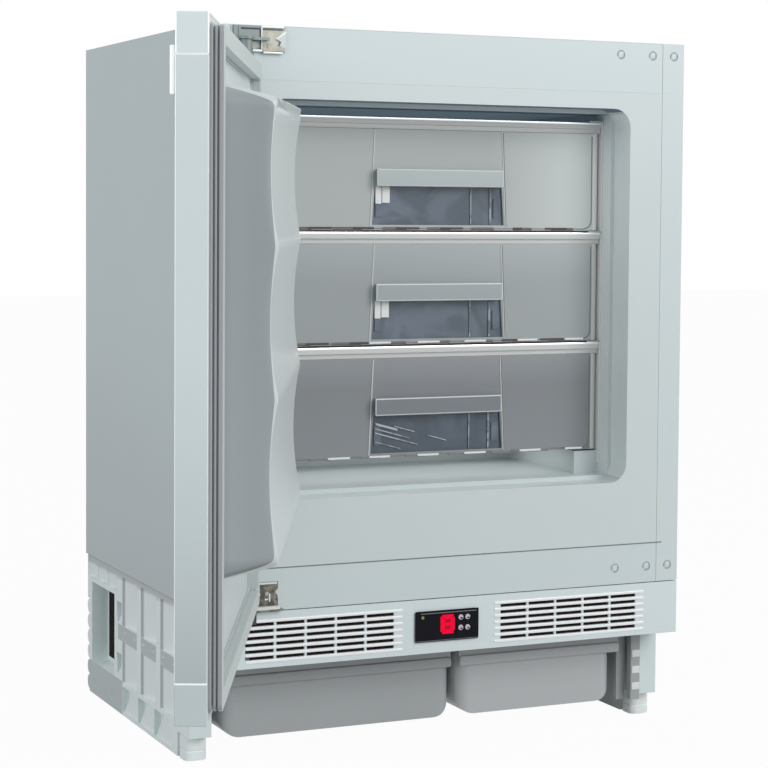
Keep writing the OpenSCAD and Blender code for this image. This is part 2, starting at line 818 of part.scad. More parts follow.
module refrigerant_pipes() {
  top = compressor_z + compressor_height;
  bend = coil_front - 10;
  color([0.72, 0.45, 0.3]) placed() {
    pipe([
      [compressor_x - 20, compressor_y, top], [compressor_x - 20, compressor_y, top + 14],
      [coil_xs[0], bend, top + 14], [coil_xs[0], bend, coil_top],
      [coil_xs[0], coil_front, coil_top]
    ], 2.5);
    pipe([
      [coil_xs[0], coil_front, coil_z], [coil_xs[0], bend, coil_z],
      [coil_xs[1], bend, coil_z], [coil_xs[1], coil_front, coil_z]
    ], 2.5);
    pipe([
      [coil_xs[1], coil_front, coil_top], [coil_xs[1], bend, coil_top],
      [coil_xs[2], bend, coil_top], [coil_xs[2], coil_front, coil_top]
    ], 2.5);
    pipe([
      [coil_xs[2], coil_front, coil_z], [coil_xs[2], bend, coil_z],
      [drier_x, bend, coil_z], [drier_x, drier_y, coil_z], [drier_x, drier_y, 48]
    ], 2.5);
    translate([drier_x, drier_y, 162]) cylinder(h = hump_z - sheet - 162, r = 1.5);
    pipe([
      [compressor_x + 24, compressor_y, top], [compressor_x + 24, compressor_y, top + 26],
      [compressor_x + 24, base_rear - 15, top + 26],
      [compressor_x + 24, base_rear - 15, hump_z - sheet]
    ], 3.5);
  }
}

module filter_drier() {
  color([0.75, 0.48, 0.32]) placed() translate([drier_x, drier_y, 60]) {
    cylinder(h = 90, r = 9);
    translate([0, 0, 90]) cylinder(h = 12, r1 = 9, r2 = 3);
    translate([0, 0, -12]) cylinder(h = 12, r1 = 3, r2 = 9);
  }
}

module power_inlet() {
  color([0.08, 0.08, 0.08]) placed() {
    difference() {
      span([inlet_x - 14.8, base_rear - 24, 62.2], [inlet_x + 14.8, base_rear + 2, 85.8]);
      span([inlet_x - 12, base_rear - 16, 65], [inlet_x + 12, base_rear + 3, 83]);
    }
    for (x = [-7, 0, 7])
      span([inlet_x + x - 1, base_rear - 17, 72], [inlet_x + x + 1, base_rear - 3, 76]);
  }
}

module door_shell() {
  color([0.87, 0.89, 0.9]) on_door() difference() {
    span([-door_half, door_front, door_bottom + cap_height],
      [door_half, -door_gap, door_top - cap_height]);
    span([-door_half + 1, door_front + 1, door_bottom],
      [door_half - 1, -door_gap - 1, door_top]);
    span([-door_half + 6, -door_gap - 2, door_bottom],
      [door_half - 6, -door_gap + 1, door_top]);
  }
}

// Plug of the door, shrunk on every side by a wall.
module plug_form(wall, root) {
  reach = plug_depth - wall;
  edge = gasket_inset + gasket_width + 2 + wall;
  mid_zs = [for (z = shelf_zs) z + trim_height / 2 - shelf_pitch / 2];
  radius = (shelf_pitch * shelf_pitch / 4 + scallop_depth * scallop_depth) / (2 * scallop_depth);
  difference() {
    intersection() {
      facing(-door_gap - root, reach - door_gap)
        rounded(-door_half + edge, door_half - edge, plug_bottom + wall, plug_top - wall,
          plug_radius - wall);
      translate([0, 0, plug_bottom + wall]) linear_extrude(plug_top - plug_bottom - 2 * wall)
        polygon([
          [-door_half + edge, -door_gap - root], [door_half - edge, -door_gap - root],
          [door_half - edge, -door_gap], [door_half - edge - plug_taper, reach - door_gap],
          [-door_half + edge + plug_taper, reach - door_gap], [-door_half + edge, -door_gap]
        ]);
      sideways(-door_half, door_half) polygon([
        [-door_gap - root, plug_bottom + wall], [-door_gap, plug_bottom + wall],
        [reach - door_gap, plug_bottom + 14 + wall], [reach - door_gap, plug_top - 6 - wall],
        [-door_gap - root, plug_top - wall]
      ]);
    }
    for (z = mid_zs)
      translate([-half, reach - door_gap - scallop_depth + radius, z]) rotate([0, 90, 0])
        cylinder(h = body_width, r = radius, $fa = 1);
  }
}

module door_foam() {
  color([0.93, 0.88, 0.7]) on_door() {
    span([-door_half + 1, door_front + 1, door_bottom + cap_height],
      [door_half - 1, -door_gap - 2, door_top - cap_height]);
    span([-door_half + 1.5, door_front + 1.5, door_bottom + 2],
      [door_half - 1.5, -door_gap - 2, door_top - 2]);
    plug_form(2, 3);
  }
}

module door_liner() {
  color([0.86, 0.89, 0.89]) on_door() difference() {
    union() {
      span([-door_half + 6, -door_gap - 2, door_bottom + 3],
        [door_half - 6, -door_gap, door_top - 3]);
      plug_form(0, 2);
    }
    plug_form(2, 3);
  }
}

// Ring that follows the door's edge between two insets.
module edge_ring(inset, width, y0, y1) {
  facing(y0, y1) difference() {
    rounded(-door_half + inset, door_half - inset, door_bottom + inset, door_top - inset, 8);
    rounded(-door_half + inset + width, door_half - inset - width,
      door_bottom + inset + width, door_top - inset - width, 3);
  }
}

module door_gasket() {
  color([0.8, 0.82, 0.83]) on_door() {
    edge_ring(gasket_inset, gasket_width, -door_gap, -door_gap + 2.5);
    edge_ring(gasket_inset + 5, gasket_width - 10, -door_gap + 2.4, -door_gap + 4.2);
    edge_ring(gasket_inset + 1.5, gasket_width - 3, -door_gap + 4.1, -door_gap + 6.2);
    edge_ring(gasket_inset + 5, gasket_width - 10, -door_gap + 6.1, -door_gap + 7.9);
    edge_ring(gasket_inset + 1.5, gasket_width - 3, -door_gap + 7.8, -gasket_clearance);
  }
}

// Moulded cap over one end of the door.
module door_cap(z0, z1, closed_z) {
  difference() {
    span([-door_half, door_front, z0], [door_half, -door_gap, z1]);
    span([-door_half + 1.5, door_front + 1.5, z0 - (closed_z == z0 ? -2 : 1)],
      [door_half - 1.5, -door_gap - 2, z1 + (closed_z == z1 ? -2 : 1)]);
    span([-door_half + 5.8, -door_gap - 2.2, z0 - 1 + (closed_z == z0 ? 3.8 : 0)],
      [door_half - 5.8, -door_gap + 1, z1 + 1 - (closed_z == z1 ? 3.8 : 0)]);
  }
}

module door_cap_top() {
  color([0.89, 0.91, 0.92]) on_door()
    door_cap(door_top - cap_height, door_top, door_top);
}

module door_cap_bottom() {
  color([0.89, 0.91, 0.92]) on_door()
    door_cap(door_bottom, door_bottom + cap_height, door_bottom);
}

module door_clip() {
  color([0.93, 0.95, 0.95]) on_door() {
    span([door_half - 24, door_front - 5, door_top - 69],
      [door_half - 4, door_front, door_top - 28]);
  }
}

module door_hinge_plates() {
  color([0.66, 0.65, 0.56]) on_door() difference() {
    union() {
      translate([0, 0, door_top]) linear_extrude(3) {
        translate([pivot_x - 1.84, door_front + 6]) square([70, 14]);
        translate([pivot_x, pivot_y]) circle(8);
      }
      translate([pivot_x, pivot_y, door_top]) cylinder(h = 17.7, r = 6.5);
      translate([0, 0, door_bottom - 2]) linear_extrude(2) {
        translate([pivot_x - 1.84, door_front + 6]) square([70, 14]);
        translate([pivot_x, pivot_y]) circle(8);
      }
      translate([pivot_x, pivot_y, arm_z + hinge_plate + 0.3])
        cylinder(h = door_bottom - arm_z - hinge_plate - 0.3, r = 6.5);
    }
    translate([pivot_x, pivot_y, 0]) cylinder(h = 900, r = pin_radius + pin_clearance);
  }
}

// Tub of a drawer with two runners.
module basket(z) {
  outer = drawer_half - 3.2;
  inner = outer - drawer_wall;
  front = drawer_front + 3.2;
  back = drawer_front + drawer_depth;
  color([0.75, 0.79, 0.81, 0.6]) placed() {
    difference() {
      translate([0, 0, z]) linear_extrude(drawer_height - 8)
        rounded(-outer, outer, front, back, 15);
      translate([0, 0, z + drawer_wall]) linear_extrude(drawer_height)
        rounded(-inner, inner, front - 60, back - drawer_wall, 12.5);
    }
    for (s = [-1, 1])
      translate([s * (drawer_half - 15) - 4, drawer_front + 24, z - runner_height])
        cube([8, drawer_depth - 50, runner_height + 1]);
  }
}

// Frosted front of a drawer with an opening for its window.
module drawer_face(z) {
  slots = 7;
  color([0.8, 0.83, 0.84]) placed() difference() {
    translate([0, 0, z - 3]) linear_extrude(drawer_height + 3) difference() {
      rounded(-drawer_half, drawer_half, drawer_front, drawer_front + 80, 18);
      rounded(-drawer_half + 3, drawer_half - 3, drawer_front + 3, drawer_front + 90, 15);
      translate([-half, drawer_front + 24]) square([body_width, 80]);
    }
    facing(drawer_front - 1, drawer_front + 10) polygon([
      [-centre_width / 2, z + 3], [centre_width / 2, z + 3],
      [centre_width / 2 - 3, z + window_top_z], [-centre_width / 2 + 3, z + window_top_z]
    ]);
    for (i = [0 : slots - 1])
      translate([(i - (slots - 1) / 2) * 56 - 15, drawer_front - 1, z - 4])
        cube([30, 5, 4]);
  }
}

// Grip bar across the middle of a drawer front.
module drawer_handle(z) {
  w = centre_width / 2 - 5;
  color([0.86, 0.88, 0.89]) placed() {
    difference() {
      span([-w, drawer_front - handle_reach, z + window_top_z],
        [w, drawer_front, z + window_top_z + handle_height]);
      span([-w + 3, drawer_front - handle_reach + 3, z + window_top_z - 1],
        [w - 3, drawer_front + 1, z + window_top_z + handle_height - 3]);
    }
  }
}

// Clear pane behind the opening of a drawer front.
module drawer_window(z) {
  w = centre_width / 2 + 5;
  color([0.7, 0.75, 0.8, 0.35]) placed() difference() {
    span([-w, drawer_front + 3, z + drawer_wall],
      [w, drawer_front + 5, z + window_top_z + 6]);
    for (x = [-w + 12, w - 16])
      span([x, drawer_front + 2, z + 14], [x + 4, drawer_front + 6, z + 30]);
  }
}

module basket_lower() {
  basket(drawer_zs[0]);
}

module basket_middle() {
  basket(drawer_zs[1]);
}

module basket_top() {
  basket(drawer_zs[2]);
}

module front_lower() {
  drawer_face(drawer_zs[0]);
}

module front_middle() {
  drawer_face(drawer_zs[1]);
}

module front_top() {
  drawer_face(drawer_zs[2]);
}

module handle_lower() {
  drawer_handle(drawer_zs[0]);
}

module handle_middle() {
  drawer_handle(drawer_zs[1]);
}

module handle_top() {
  drawer_handle(drawer_zs[2]);
}

module window_lower() {
  drawer_window(drawer_zs[0]);
}

module window_middle() {
  drawer_window(drawer_zs[1]);
}

module window_top() {
  drawer_window(drawer_zs[2]);
}

module button_1() {
  push_button(0);
}

module button_2() {
  push_button(1);
}

module button_3() {
  push_button(2);
}

module button_4() {
  push_button(3);
}

// Levelling foot with its stem.
module level_foot(side) {
  w = foot_width / 2;
  d = foot_depth / 2;
  color([0.88, 0.9, 0.89]) placed() translate([side * (half - w), base_front + 20, 0]) {
    linear_extrude(10) rounded(-w, w, -d, d, 10);
    translate([0, 0, 9]) linear_extrude(4) rounded(1.2 - w, w - 1.2, 1.2 - d, d - 1.2, 8.8);
    translate([0, 0, 11.6]) linear_extrude(foot_height - 11.6) rounded(-w, w, -d, d, 10);
    translate([0, 0, foot_height - 1]) cylinder(h = 46, r = 6.2);
  }
}

module foot_left() {
  level_foot(-1);
}

module foot_right() {
  level_foot(1);
}

outer_shell();
back_panel();
bottom_pan();
cabinet_foam();
inner_liner();
top_strip();
bottom_strip();
screw_caps();
shelf_brackets();
evaporator();
shelf_trims();
shelf_clips();
base_frame();
plinth_panel();
controller_bezel();
controller_display();
toe_tray_left();
toe_tray_right();
top_hinge_bracket();
bottom_hinge_bracket();
hinge_pins();
hinge_screws();
compressor_tray();
compressor();
compressor_grommets();
terminal_box();
condenser_coil();
fan_motor();
fan_blades();
refrigerant_pipes();
filter_drier();
power_inlet();
door_shell();
door_foam();
door_liner();
door_gasket();
door_cap_top();
door_cap_bottom();
door_clip();
door_hinge_plates();
basket_top();
front_top();
handle_top();
window_top();
basket_middle();
front_middle();
handle_middle();
window_middle();
basket_lower();
front_lower();
handle_lower();
window_lower();
button_1();
button_2();
button_3();
button_4();
foot_left();
foot_right();
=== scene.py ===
"""Built-under freezer with its door open: finishes, fine parts, studio and camera."""
import json
import math

import bmesh
import bpy
from mathutils import Matrix, Vector

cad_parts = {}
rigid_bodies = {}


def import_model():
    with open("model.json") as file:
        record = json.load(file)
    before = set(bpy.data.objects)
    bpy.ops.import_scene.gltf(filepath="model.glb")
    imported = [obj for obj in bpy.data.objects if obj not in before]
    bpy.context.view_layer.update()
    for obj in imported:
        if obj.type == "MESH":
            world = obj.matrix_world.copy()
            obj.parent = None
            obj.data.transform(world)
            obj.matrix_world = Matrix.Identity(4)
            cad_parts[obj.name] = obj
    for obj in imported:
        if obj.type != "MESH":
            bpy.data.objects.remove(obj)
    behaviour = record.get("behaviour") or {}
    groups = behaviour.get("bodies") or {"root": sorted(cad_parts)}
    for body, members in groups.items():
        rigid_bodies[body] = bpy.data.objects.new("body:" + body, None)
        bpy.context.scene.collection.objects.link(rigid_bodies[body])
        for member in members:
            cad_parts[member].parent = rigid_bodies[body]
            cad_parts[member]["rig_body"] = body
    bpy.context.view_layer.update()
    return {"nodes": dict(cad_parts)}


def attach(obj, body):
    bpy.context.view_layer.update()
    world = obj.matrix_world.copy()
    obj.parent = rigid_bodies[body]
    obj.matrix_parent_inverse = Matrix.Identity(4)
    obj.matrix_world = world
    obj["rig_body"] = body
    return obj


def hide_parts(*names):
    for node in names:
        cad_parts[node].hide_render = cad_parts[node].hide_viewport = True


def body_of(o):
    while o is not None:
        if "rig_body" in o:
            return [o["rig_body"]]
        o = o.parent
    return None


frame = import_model()
nodes = frame["nodes"]

MM = 0.001
FRONT_Y = -0.2275
PLATE_WHITE = (0.69, 0.765, 0.77)
LINER_WHITE = (0.69, 0.755, 0.755)
SIDE_X = 298.5
PIVOT_X = -258.16
PIVOT_Y = -17.32
OPEN_TURN = -math.radians(114.2)
DOOR_HALF = 260
DOOR_BOTTOM = 180
DOOR_TOP = 777
LINER_Y = -12
SHELF_Z = (445, 576, 707)
DRAWER_Z = {"lower": 332, "middle": 463, "top": 594}
DRAWER_Y = 56
WELD_DISTANCE = 0.004
FLAT_ANGLE = math.radians(0.5)
SHARP_ANGLE = math.radians(35)


def surface(name, colour, roughness, **settings):
    """A plain material with its values set straight on the shader."""
    material = bpy.data.materials.new(name)
    material.use_nodes = True
    shader = material.node_tree.nodes["Principled BSDF"]
    shader.inputs["Base Color"].default_value = (*colour, 1.0)
    shader.inputs["Roughness"].default_value = roughness
    for socket, value in settings.items():
        shader.inputs[socket.replace("_", " ")].default_value = value
    return material


def grain(material, scale, depth, tint=0.0):
    """Adds a fine moulded grain, and a slight drift of the colour, to a material."""
    tree = material.node_tree
    shader = tree.nodes["Principled BSDF"]
    place = tree.nodes.new("ShaderNodeTexCoord")
    noise = tree.nodes.new("ShaderNodeTexNoise")
    noise.inputs["Scale"].default_value = scale
    noise.inputs["Detail"].default_value = 4.0
    bump = tree.nodes.new("ShaderNodeBump")
    bump.inputs["Strength"].default_value = 0.35
    bump.inputs["Distance"].default_value = depth
    tree.links.new(place.outputs["Object"], noise.inputs["Vector"])
    tree.links.new(noise.outputs["Fac"], bump.inputs["Height"])
    tree.links.new(bump.outputs["Normal"], shader.inputs["Normal"])
    if tint:
        blotches(material, 3.0, tint, 0.3, 0.7)
    return material


def blotches(material, scale, tint, low, high, crease=0.0):
    """Lets the colour drift lighter and darker in soft or, with low near high, hard patches."""
    tree = material.node_tree
    shader = tree.nodes["Principled BSDF"]
    base = shader.inputs["Base Color"].default_value[:3]
    place = tree.nodes.new("ShaderNodeTexCoord")
    drift = tree.nodes.new("ShaderNodeTexNoise")
    drift.inputs["Scale"].default_value = scale
    drift.inputs["Detail"].default_value = 2.0
    drift.inputs["Distortion"].default_value = crease
    ramp = tree.nodes.new("ShaderNodeValToRGB")
    ramp.color_ramp.elements[0].position = low
    ramp.color_ramp.elements[1].position = high
    ramp.color_ramp.elements[0].color = (*[c * (1 - tint) for c in base], 1)
    ramp.color_ramp.elements[1].color = (*[min(1, c * (1 + tint)) for c in base], 1)
    tree.links.new(place.outputs["Object"], drift.inputs["Vector"])
    tree.links.new(drift.outputs["Fac"], ramp.inputs["Fac"])
    tree.links.new(ramp.outputs["Color"], shader.inputs["Base Color"])
    return material


AXES = {"X": (1, 0, 0), "Y": (0, 1, 0), "Z": (0, 0, 1)}


def fade(material, direction, stops):
    """Makes a material lighter or darker along an axis, given by its letter, or a direction.

    Each stop is a place along it, in metres, and the factor for the colour there.
    """
    tree = material.node_tree
    shader = tree.nodes["Principled BSDF"]
    first, last = stops[0][0], stops[-1][0]
    place = tree.nodes.new("ShaderNodeTexCoord")
    along = tree.nodes.new("ShaderNodeVectorMath")
    along.operation = "DOT_PRODUCT"
    along.inputs[1].default_value = AXES.get(direction, direction)
    reach = tree.nodes.new("ShaderNodeMapRange")
    reach.inputs["From Min"].default_value = first
    reach.inputs["From Max"].default_value = last
    shades = tree.nodes.new("ShaderNodeValToRGB")
    shades.color_ramp.elements.remove(shades.color_ramp.elements[1])
    for at, shade in stops:
        spot = (at - first) / (last - first)
        stop = shades.color_ramp.elements.new(spot) if spot > 0 else shades.color_ramp.elements[0]
        stop.color = (shade, shade, shade, 1)
    blend = tree.nodes.new("ShaderNodeMix")
    blend.data_type = "RGBA"
    blend.blend_type = "MULTIPLY"
    blend.inputs["Factor"].default_value = 1.0
    tree.links.new(place.outputs["Object"], along.inputs[0])
    tree.links.new(along.outputs["Value"], reach.inputs["Value"])
    tree.links.new(reach.outputs["Result"], shades.inputs["Fac"])
    tree.links.new(shader.inputs["Base Color"].links[0].from_socket, blend.inputs["A"])
    tree.links.new(shades.outputs["Color"], blend.inputs["B"])
    tree.links.new(blend.outputs["Result"], shader.inputs["Base Color"])
    return material


white_steel = grain(surface("white_steel", PLATE_WHITE, 0.34, Coat_Weight=0.2), 900, 0.00002, 0.015)
# Painted shade: the side walls' steel is darker than the front's, and darker still towards the bottom.
side_steel_painted_shade = fade(grain(surface("side_steel_painted_shade", (0.57, 0.65, 0.67), 0.36), 700, 0.00003, 0.02),
                  "Z", ((0.17, 0.80), (0.5, 0.98), (0.8, 1.0)))
# The door's paint, with painted shade that makes it darker towards the bottom.
door_paint_low_shade = fade(grain(surface("door_paint_low_shade", (0.80, 0.885, 0.89), 0.34), 800, 0.00002, 0.015),
                  "Z", ((0.17, 0.64), (0.34, 0.86), (0.5, 0.98), (0.8, 1.0)))
cap_white = grain(surface("cap_white", (0.88, 0.96, 0.96), 0.36), 800, 0.00002, 0.01)
# Painted shade: a darker copy of the cap's white for the lower cap, also used for a faint seam line.
cap_painted_shade = grain(surface("cap_painted_shade", (0.66, 0.735, 0.745), 0.36), 800, 0.00002, 0.01)
# Painted highlight: a bright, mostly metallic white for rounded edges, lips, a rim line and the door's
# clip, so that they reflect the white world.
edge_highlight = grain(surface("edge_highlight", (0.97, 0.99, 0.99), 0.3, Metallic=0.8), 800, 0.00002, 0.005)
liner_plastic = grain(surface("liner_plastic", LINER_WHITE, 0.3, Coat_Weight=0.2), 500, 0.00002, 0.015)
# Painted light and shade: a lighter copy of the liner for the mouth's walls, and a dark blue-grey one
# for its ceiling.
liner_painted_light = grain(surface("liner_painted_light", (0.93, 0.985, 0.98), 0.34), 500, 0.00002, 0.01)
liner_roof_painted_shade = grain(surface("liner_roof_painted_shade", (0.19, 0.25, 0.33), 0.5, Specular_IOR_Level=0.1),
                   500, 0.00002, 0.05)
plug_plastic = grain(surface("plug_plastic", (0.68, 0.725, 0.72), 0.32), 500, 0.00002, 0.015)
# Painted shade: a darker copy of the plug's plastic for its side walls, a little lighter towards the
# bottom.
plug_wall_painted_shade = fade(grain(surface("plug_wall_painted_shade", (0.365, 0.40, 0.415), 0.36), 500, 0.00002, 0.02),
                 "Z", ((0.29, 1.08), (0.5, 1.0), (0.73, 0.96)))
strip_plastic = grain(surface("strip_plastic", PLATE_WHITE, 0.32), 600, 0.00002, 0.01)
plinth_plastic = grain(surface("plinth_plastic", (0.77, 0.85, 0.86), 0.34), 600, 0.00002, 0.01)
# Painted highlight: the grille bars are whiter than the plinth, and partly metallic so that they
# reflect the white world.
bar_highlight_white = grain(surface("bar_highlight_white", (0.88, 0.89, 0.89), 0.35, Metallic=0.3), 600, 0.00002, 0.01)
base_plastic = grain(surface("base_plastic", (0.77, 0.865, 0.855), 0.5), 420, 0.00006, 0.02)
base_shade = grain(surface("base_shade", (0.53, 0.58, 0.585), 0.5), 420, 0.00006, 0.02)
# Painted light: lighter copies of the base's plastic for its sides and its pocket floors.
pale_painted_light = grain(surface("pale_painted_light", (0.93, 0.98, 0.97), 0.5), 420, 0.00004, 0.01)
pocket_floor_light_and_shade = grain(surface("pocket_floor_light_and_shade", (0.95, 0.99, 0.98), 0.5), 420, 0.00004, 0.01)
tray_plastic = grain(surface("tray_plastic", (0.41, 0.43, 0.435), 0.42), 420, 0.00004, 0.03)
# Painted light: a lighter copy of the tray plastic for the right tray and for the lit rolls under the
# plinth.
tray_painted_light = grain(surface("tray_painted_light", (0.52, 0.54, 0.545), 0.42), 420, 0.00004, 0.03)
shelf_plastic = grain(surface("shelf_plastic", (0.68, 0.69, 0.67), 0.38), 600, 0.00002, 0.01)
# A white for fine light parts, and for painted highlights on lips, edges, dashes and marks.
white_and_highlight = grain(surface("white_and_highlight", (0.88, 0.88, 0.87), 0.35), 600, 0.00002, 0.01)
# Painted light and shade: the drawers' frosted plastic is darker at each lower level, the top drawer
# lighter towards the right, and the two lower ones lighter near their tops.
frosted_light_and_shade = {
    level: fade(grain(surface("frosted_" + level, tone, 0.42), 300, 0.00004, 0.03), "X", stops)
    for level, tone, stops in (
        ("top", (0.48, 0.51, 0.50), ((-0.2, 1.0), (0.07, 0.96), (0.2, 1.36))),
        ("middle", (0.39, 0.42, 0.425), ((-0.2, 0.96), (0.05, 1.0), (0.2, 1.05))),
        ("lower", (0.255, 0.27, 0.285), ((-0.2, 1.0), (0.05, 1.0), (0.2, 0.98))))
}
fade(frosted_light_and_shade["middle"], "Z", ((0.463, 0.97), (0.53, 0.97), (0.576, 1.16)))
fade(frosted_light_and_shade["lower"], "Z", ((0.332, 1.04), (0.41, 0.96), (0.445, 1.22)))
# Painted shade: the handles are darker at each lower level; their edges and left ends carry a lighter
# painted highlight.
handle_level_shades = {
    level: grain(surface(f"handle_{level}_tone", tone, 0.3), 600, 0.00001, 0.01)
    for level, tone in (("top", (0.50, 0.555, 0.555)), ("middle", (0.40, 0.44, 0.45)),
                        ("lower", (0.215, 0.235, 0.255)))
}
handle_highlights = {
    level: grain(surface(f"handle_{level}_edge", tone, 0.3), 600, 0.00001, 0.01)
    for level, tone in (("top", (0.64, 0.68, 0.66)), ("middle", (0.72, 0.76, 0.76)),
                        ("lower", (0.66, 0.70, 0.72)))
}
gap_shadow_brown = grain(surface("gap_shadow_brown", (0.27, 0.26, 0.24), 0.5), 600, 0.00001, 0.02)
bracket_grey = grain(surface("bracket_grey", (0.42, 0.455, 0.455), 0.42), 600, 0.00002, 0.02)
drawer_line = grain(surface("drawer_line", (0.22, 0.21, 0.20), 0.5), 600, 0.00001, 0.02)
pane = surface("clear_pane", (0.19, 0.23, 0.28), 0.08, Alpha=0.72, Specular_IOR_Level=0.5)
fade(blotches(pane, 16.0, 0.16, 0.42, 0.6, 1.5), "X", ((-0.08, 1.12), (0.0, 0.98), (0.08, 1.0)))
# Painted shade: a darker copy of the pane for the lowest window.
pane_low_shade = surface("pane_low_shade", (0.13, 0.165, 0.21), 0.08, Alpha=0.8)
fade(blotches(pane_low_shade, 16.0, 0.16, 0.42, 0.6, 1.5), "X", ((-0.08, 1.0), (0.0, 0.98), (0.08, 1.0)))
bag_crease = blotches(surface("bag_crease", (0.36, 0.39, 0.42), 0.3), 60.0, 0.4, 0.45, 0.55, 1.0)
# Painted shade: a darker grey for the gasket's grooved side along the door's free edge.
gasket_rubber = grain(surface("gasket_rubber", (0.41, 0.42, 0.44), 0.55), 800, 0.00003, 0.02)
# Painted shadow: a near-black for dark gaps, notches, edges and dashes.
fold_shadow = grain(surface("painted_shadow", (0.10, 0.09, 0.10), 0.6, Specular_IOR_Level=0.2),
                    800, 0.00003, 0.02)
gasket_face = grain(surface("gasket_face", (0.60, 0.65, 0.64), 0.5), 800, 0.00003, 0.02)
zinc = blotches(grain(surface("zinc_plate", (0.40, 0.40, 0.34), 0.4, Metallic=0.35), 350, 0.00003),
                90.0, 0.16, 0.4, 0.6, 0.5)
zinc_dull = grain(surface("zinc_dull", (0.235, 0.285, 0.275), 0.4, Metallic=0.3), 350, 0.00003, 0.08)
# Painted highlight: a bright zinc for glints on the hinge plates.
zinc_highlight = grain(surface("zinc_highlight", (0.86, 0.88, 0.86), 0.3, Metallic=0.2), 350, 0.00002, 0.03)
zinc_dark = blotches(grain(surface("zinc_dark", (0.16, 0.16, 0.13), 0.4, Metallic=0.3), 400, 0.0001),
                     120.0, 0.55, 0.42, 0.62, 1.0)
plain_steel = grain(surface("plain_steel", (0.55, 0.56, 0.57), 0.35, Metallic=0.9), 250, 0.00003, 0.05)
# Painted shade: the evaporator is darkened to the blue-grey shade deep inside the compartment.
aluminium = grain(surface("aluminium_painted_shade", (0.16, 0.20, 0.26), 0.45, Metallic=0.4), 260, 0.00004, 0.05)
black_paint = grain(surface("black_paint", (0.025, 0.025, 0.028), 0.35), 400, 0.00003, 0.1)
black_plastic = grain(surface("black_plastic", (0.03, 0.03, 0.033), 0.45), 500, 0.00003, 0.1)
soft_black = grain(surface("mount_rubber", (0.02, 0.02, 0.02), 0.7), 500, 0.00004, 0.1)
copper = grain(surface("dull_copper", (0.55, 0.27, 0.16), 0.35, Metallic=0.9), 200, 0.00003, 0.12)
foam = grain(surface("rigid_foam", (0.78, 0.70, 0.45), 0.8), 200, 0.0002, 0.06)
gloss_black = surface("gloss_black", (0.008, 0.008, 0.012), 0.3, Specular_IOR_Level=0.08)
filter_black = blotches(surface("filter_black", (0.030, 0.017, 0.018), 0.8, Specular_IOR_Level=0.05),
                        700.0, 0.7, 0.4, 0.6)
bezel_line = surface("bezel_line", (0.20, 0.20, 0.24), 0.4)
red_light = surface("red_segments", (0.05, 0.0, 0.0), 0.5, Specular_IOR_Level=0.1,
                    Emission_Color=(0.84, 0.0, 0.036, 1), Emission_Strength=1.0)
green_light = surface("green_lamp", (0.01, 0.05, 0.01), 0.5, Specular_IOR_Level=0.1,
                      Emission_Color=(0.05, 0.30, 0.06, 1), Emission_Strength=1.0)
dim_red = surface("dim_red", (0.02, 0.0, 0.0), 0.5, Specular_IOR_Level=0.1,
                  Emission_Color=(0.42, 0.0, 0.02, 1), Emission_Strength=1.0)
button_grey = grain(surface("button_grey", (0.62, 0.57, 0.64), 0.45), 600, 0.00002, 0.03)

FINISH = {
    "outer_shell": white_steel, "back_panel": plain_steel, "bottom_pan": plain_steel,
    "cabinet_foam": foam, "inner_liner": liner_plastic, "top_strip": strip_plastic,
    "bottom_strip": strip_plastic, "screw_caps": strip_plastic, "shelf_brackets": bracket_grey,
    "evaporator": aluminium, "shelf_trims": shelf_plastic, "shelf_clips": plain_steel,
    "base_frame": base_plastic, "plinth_panel": plinth_plastic, "controller_bezel": gloss_black,
    "controller_display": red_light, "toe_tray_left": tray_plastic, "toe_tray_right": tray_painted_light,
    "top_hinge_bracket": zinc_dull, "bottom_hinge_bracket": zinc_dark, "hinge_pins": plain_steel,
    "hinge_screws": zinc, "compressor_tray": plain_steel, "compressor": black_paint,
    "compressor_grommets": soft_black, "terminal_box": black_plastic, "condenser_coil": black_paint,
    "fan_motor": black_plastic, "fan_blades": black_plastic, "refrigerant_pipes": copper,
    "filter_drier": copper, "power_inlet": black_plastic, "door_shell": door_paint_low_shade,
    "door_foam": foam, "door_liner": plug_plastic, "door_gasket": gasket_rubber,
    # The door's clip takes the painted highlight white.
    "door_cap_top": cap_white, "door_cap_bottom": cap_painted_shade, "door_clip": edge_highlight,
    # The feet take the pale painted-light copy of the base's plastic.
    "door_hinge_plates": zinc_dull, "foot_left": pale_painted_light, "foot_right": pale_painted_light,
}
for level in DRAWER_Z:
    FINISH["basket_" + level] = frosted_light_and_shade[level]
    FINISH["front_" + level] = frosted_light_and_shade[level]
    FINISH["handle_" + level] = handle_level_shades[level]
    FINISH["window_" + level] = pane_low_shade if level == "lower" else pane
for number in (1, 2, 3, 4):
    FINISH[f"button_{number}"] = button_grey

for name, node in nodes.items():
    node.data.materials.clear()
    node.data.materials.append(FINISH[name])


def room(x, y, z):
    """Place in the room of a point given in millimetres from the cabinet's front face."""
    return Vector((x * MM, y * MM + FRONT_Y, z * MM))


def on_door(x, y, z):
    """Place in the room of a point drawn on the closed door."""
    across, along = x - PIVOT_X, y - PIVOT_Y
    return room(PIVOT_X + across * math.cos(OPEN_TURN) - along * math.sin(OPEN_TURN),
                PIVOT_Y + across * math.sin(OPEN_TURN) + along * math.cos(OPEN_TURN), z)


def shut(point):
    """Where a point of the open door lies on the closed door, in millimetres."""
    across = point.x / MM - PIVOT_X
    along = (point.y - FRONT_Y) / MM - PIVOT_Y
    return (PIVOT_X + across * math.cos(OPEN_TURN) + along * math.sin(OPEN_TURN),
            PIVOT_Y - across * math.sin(OPEN_TURN) + along * math.cos(OPEN_TURN), point.z / MM)


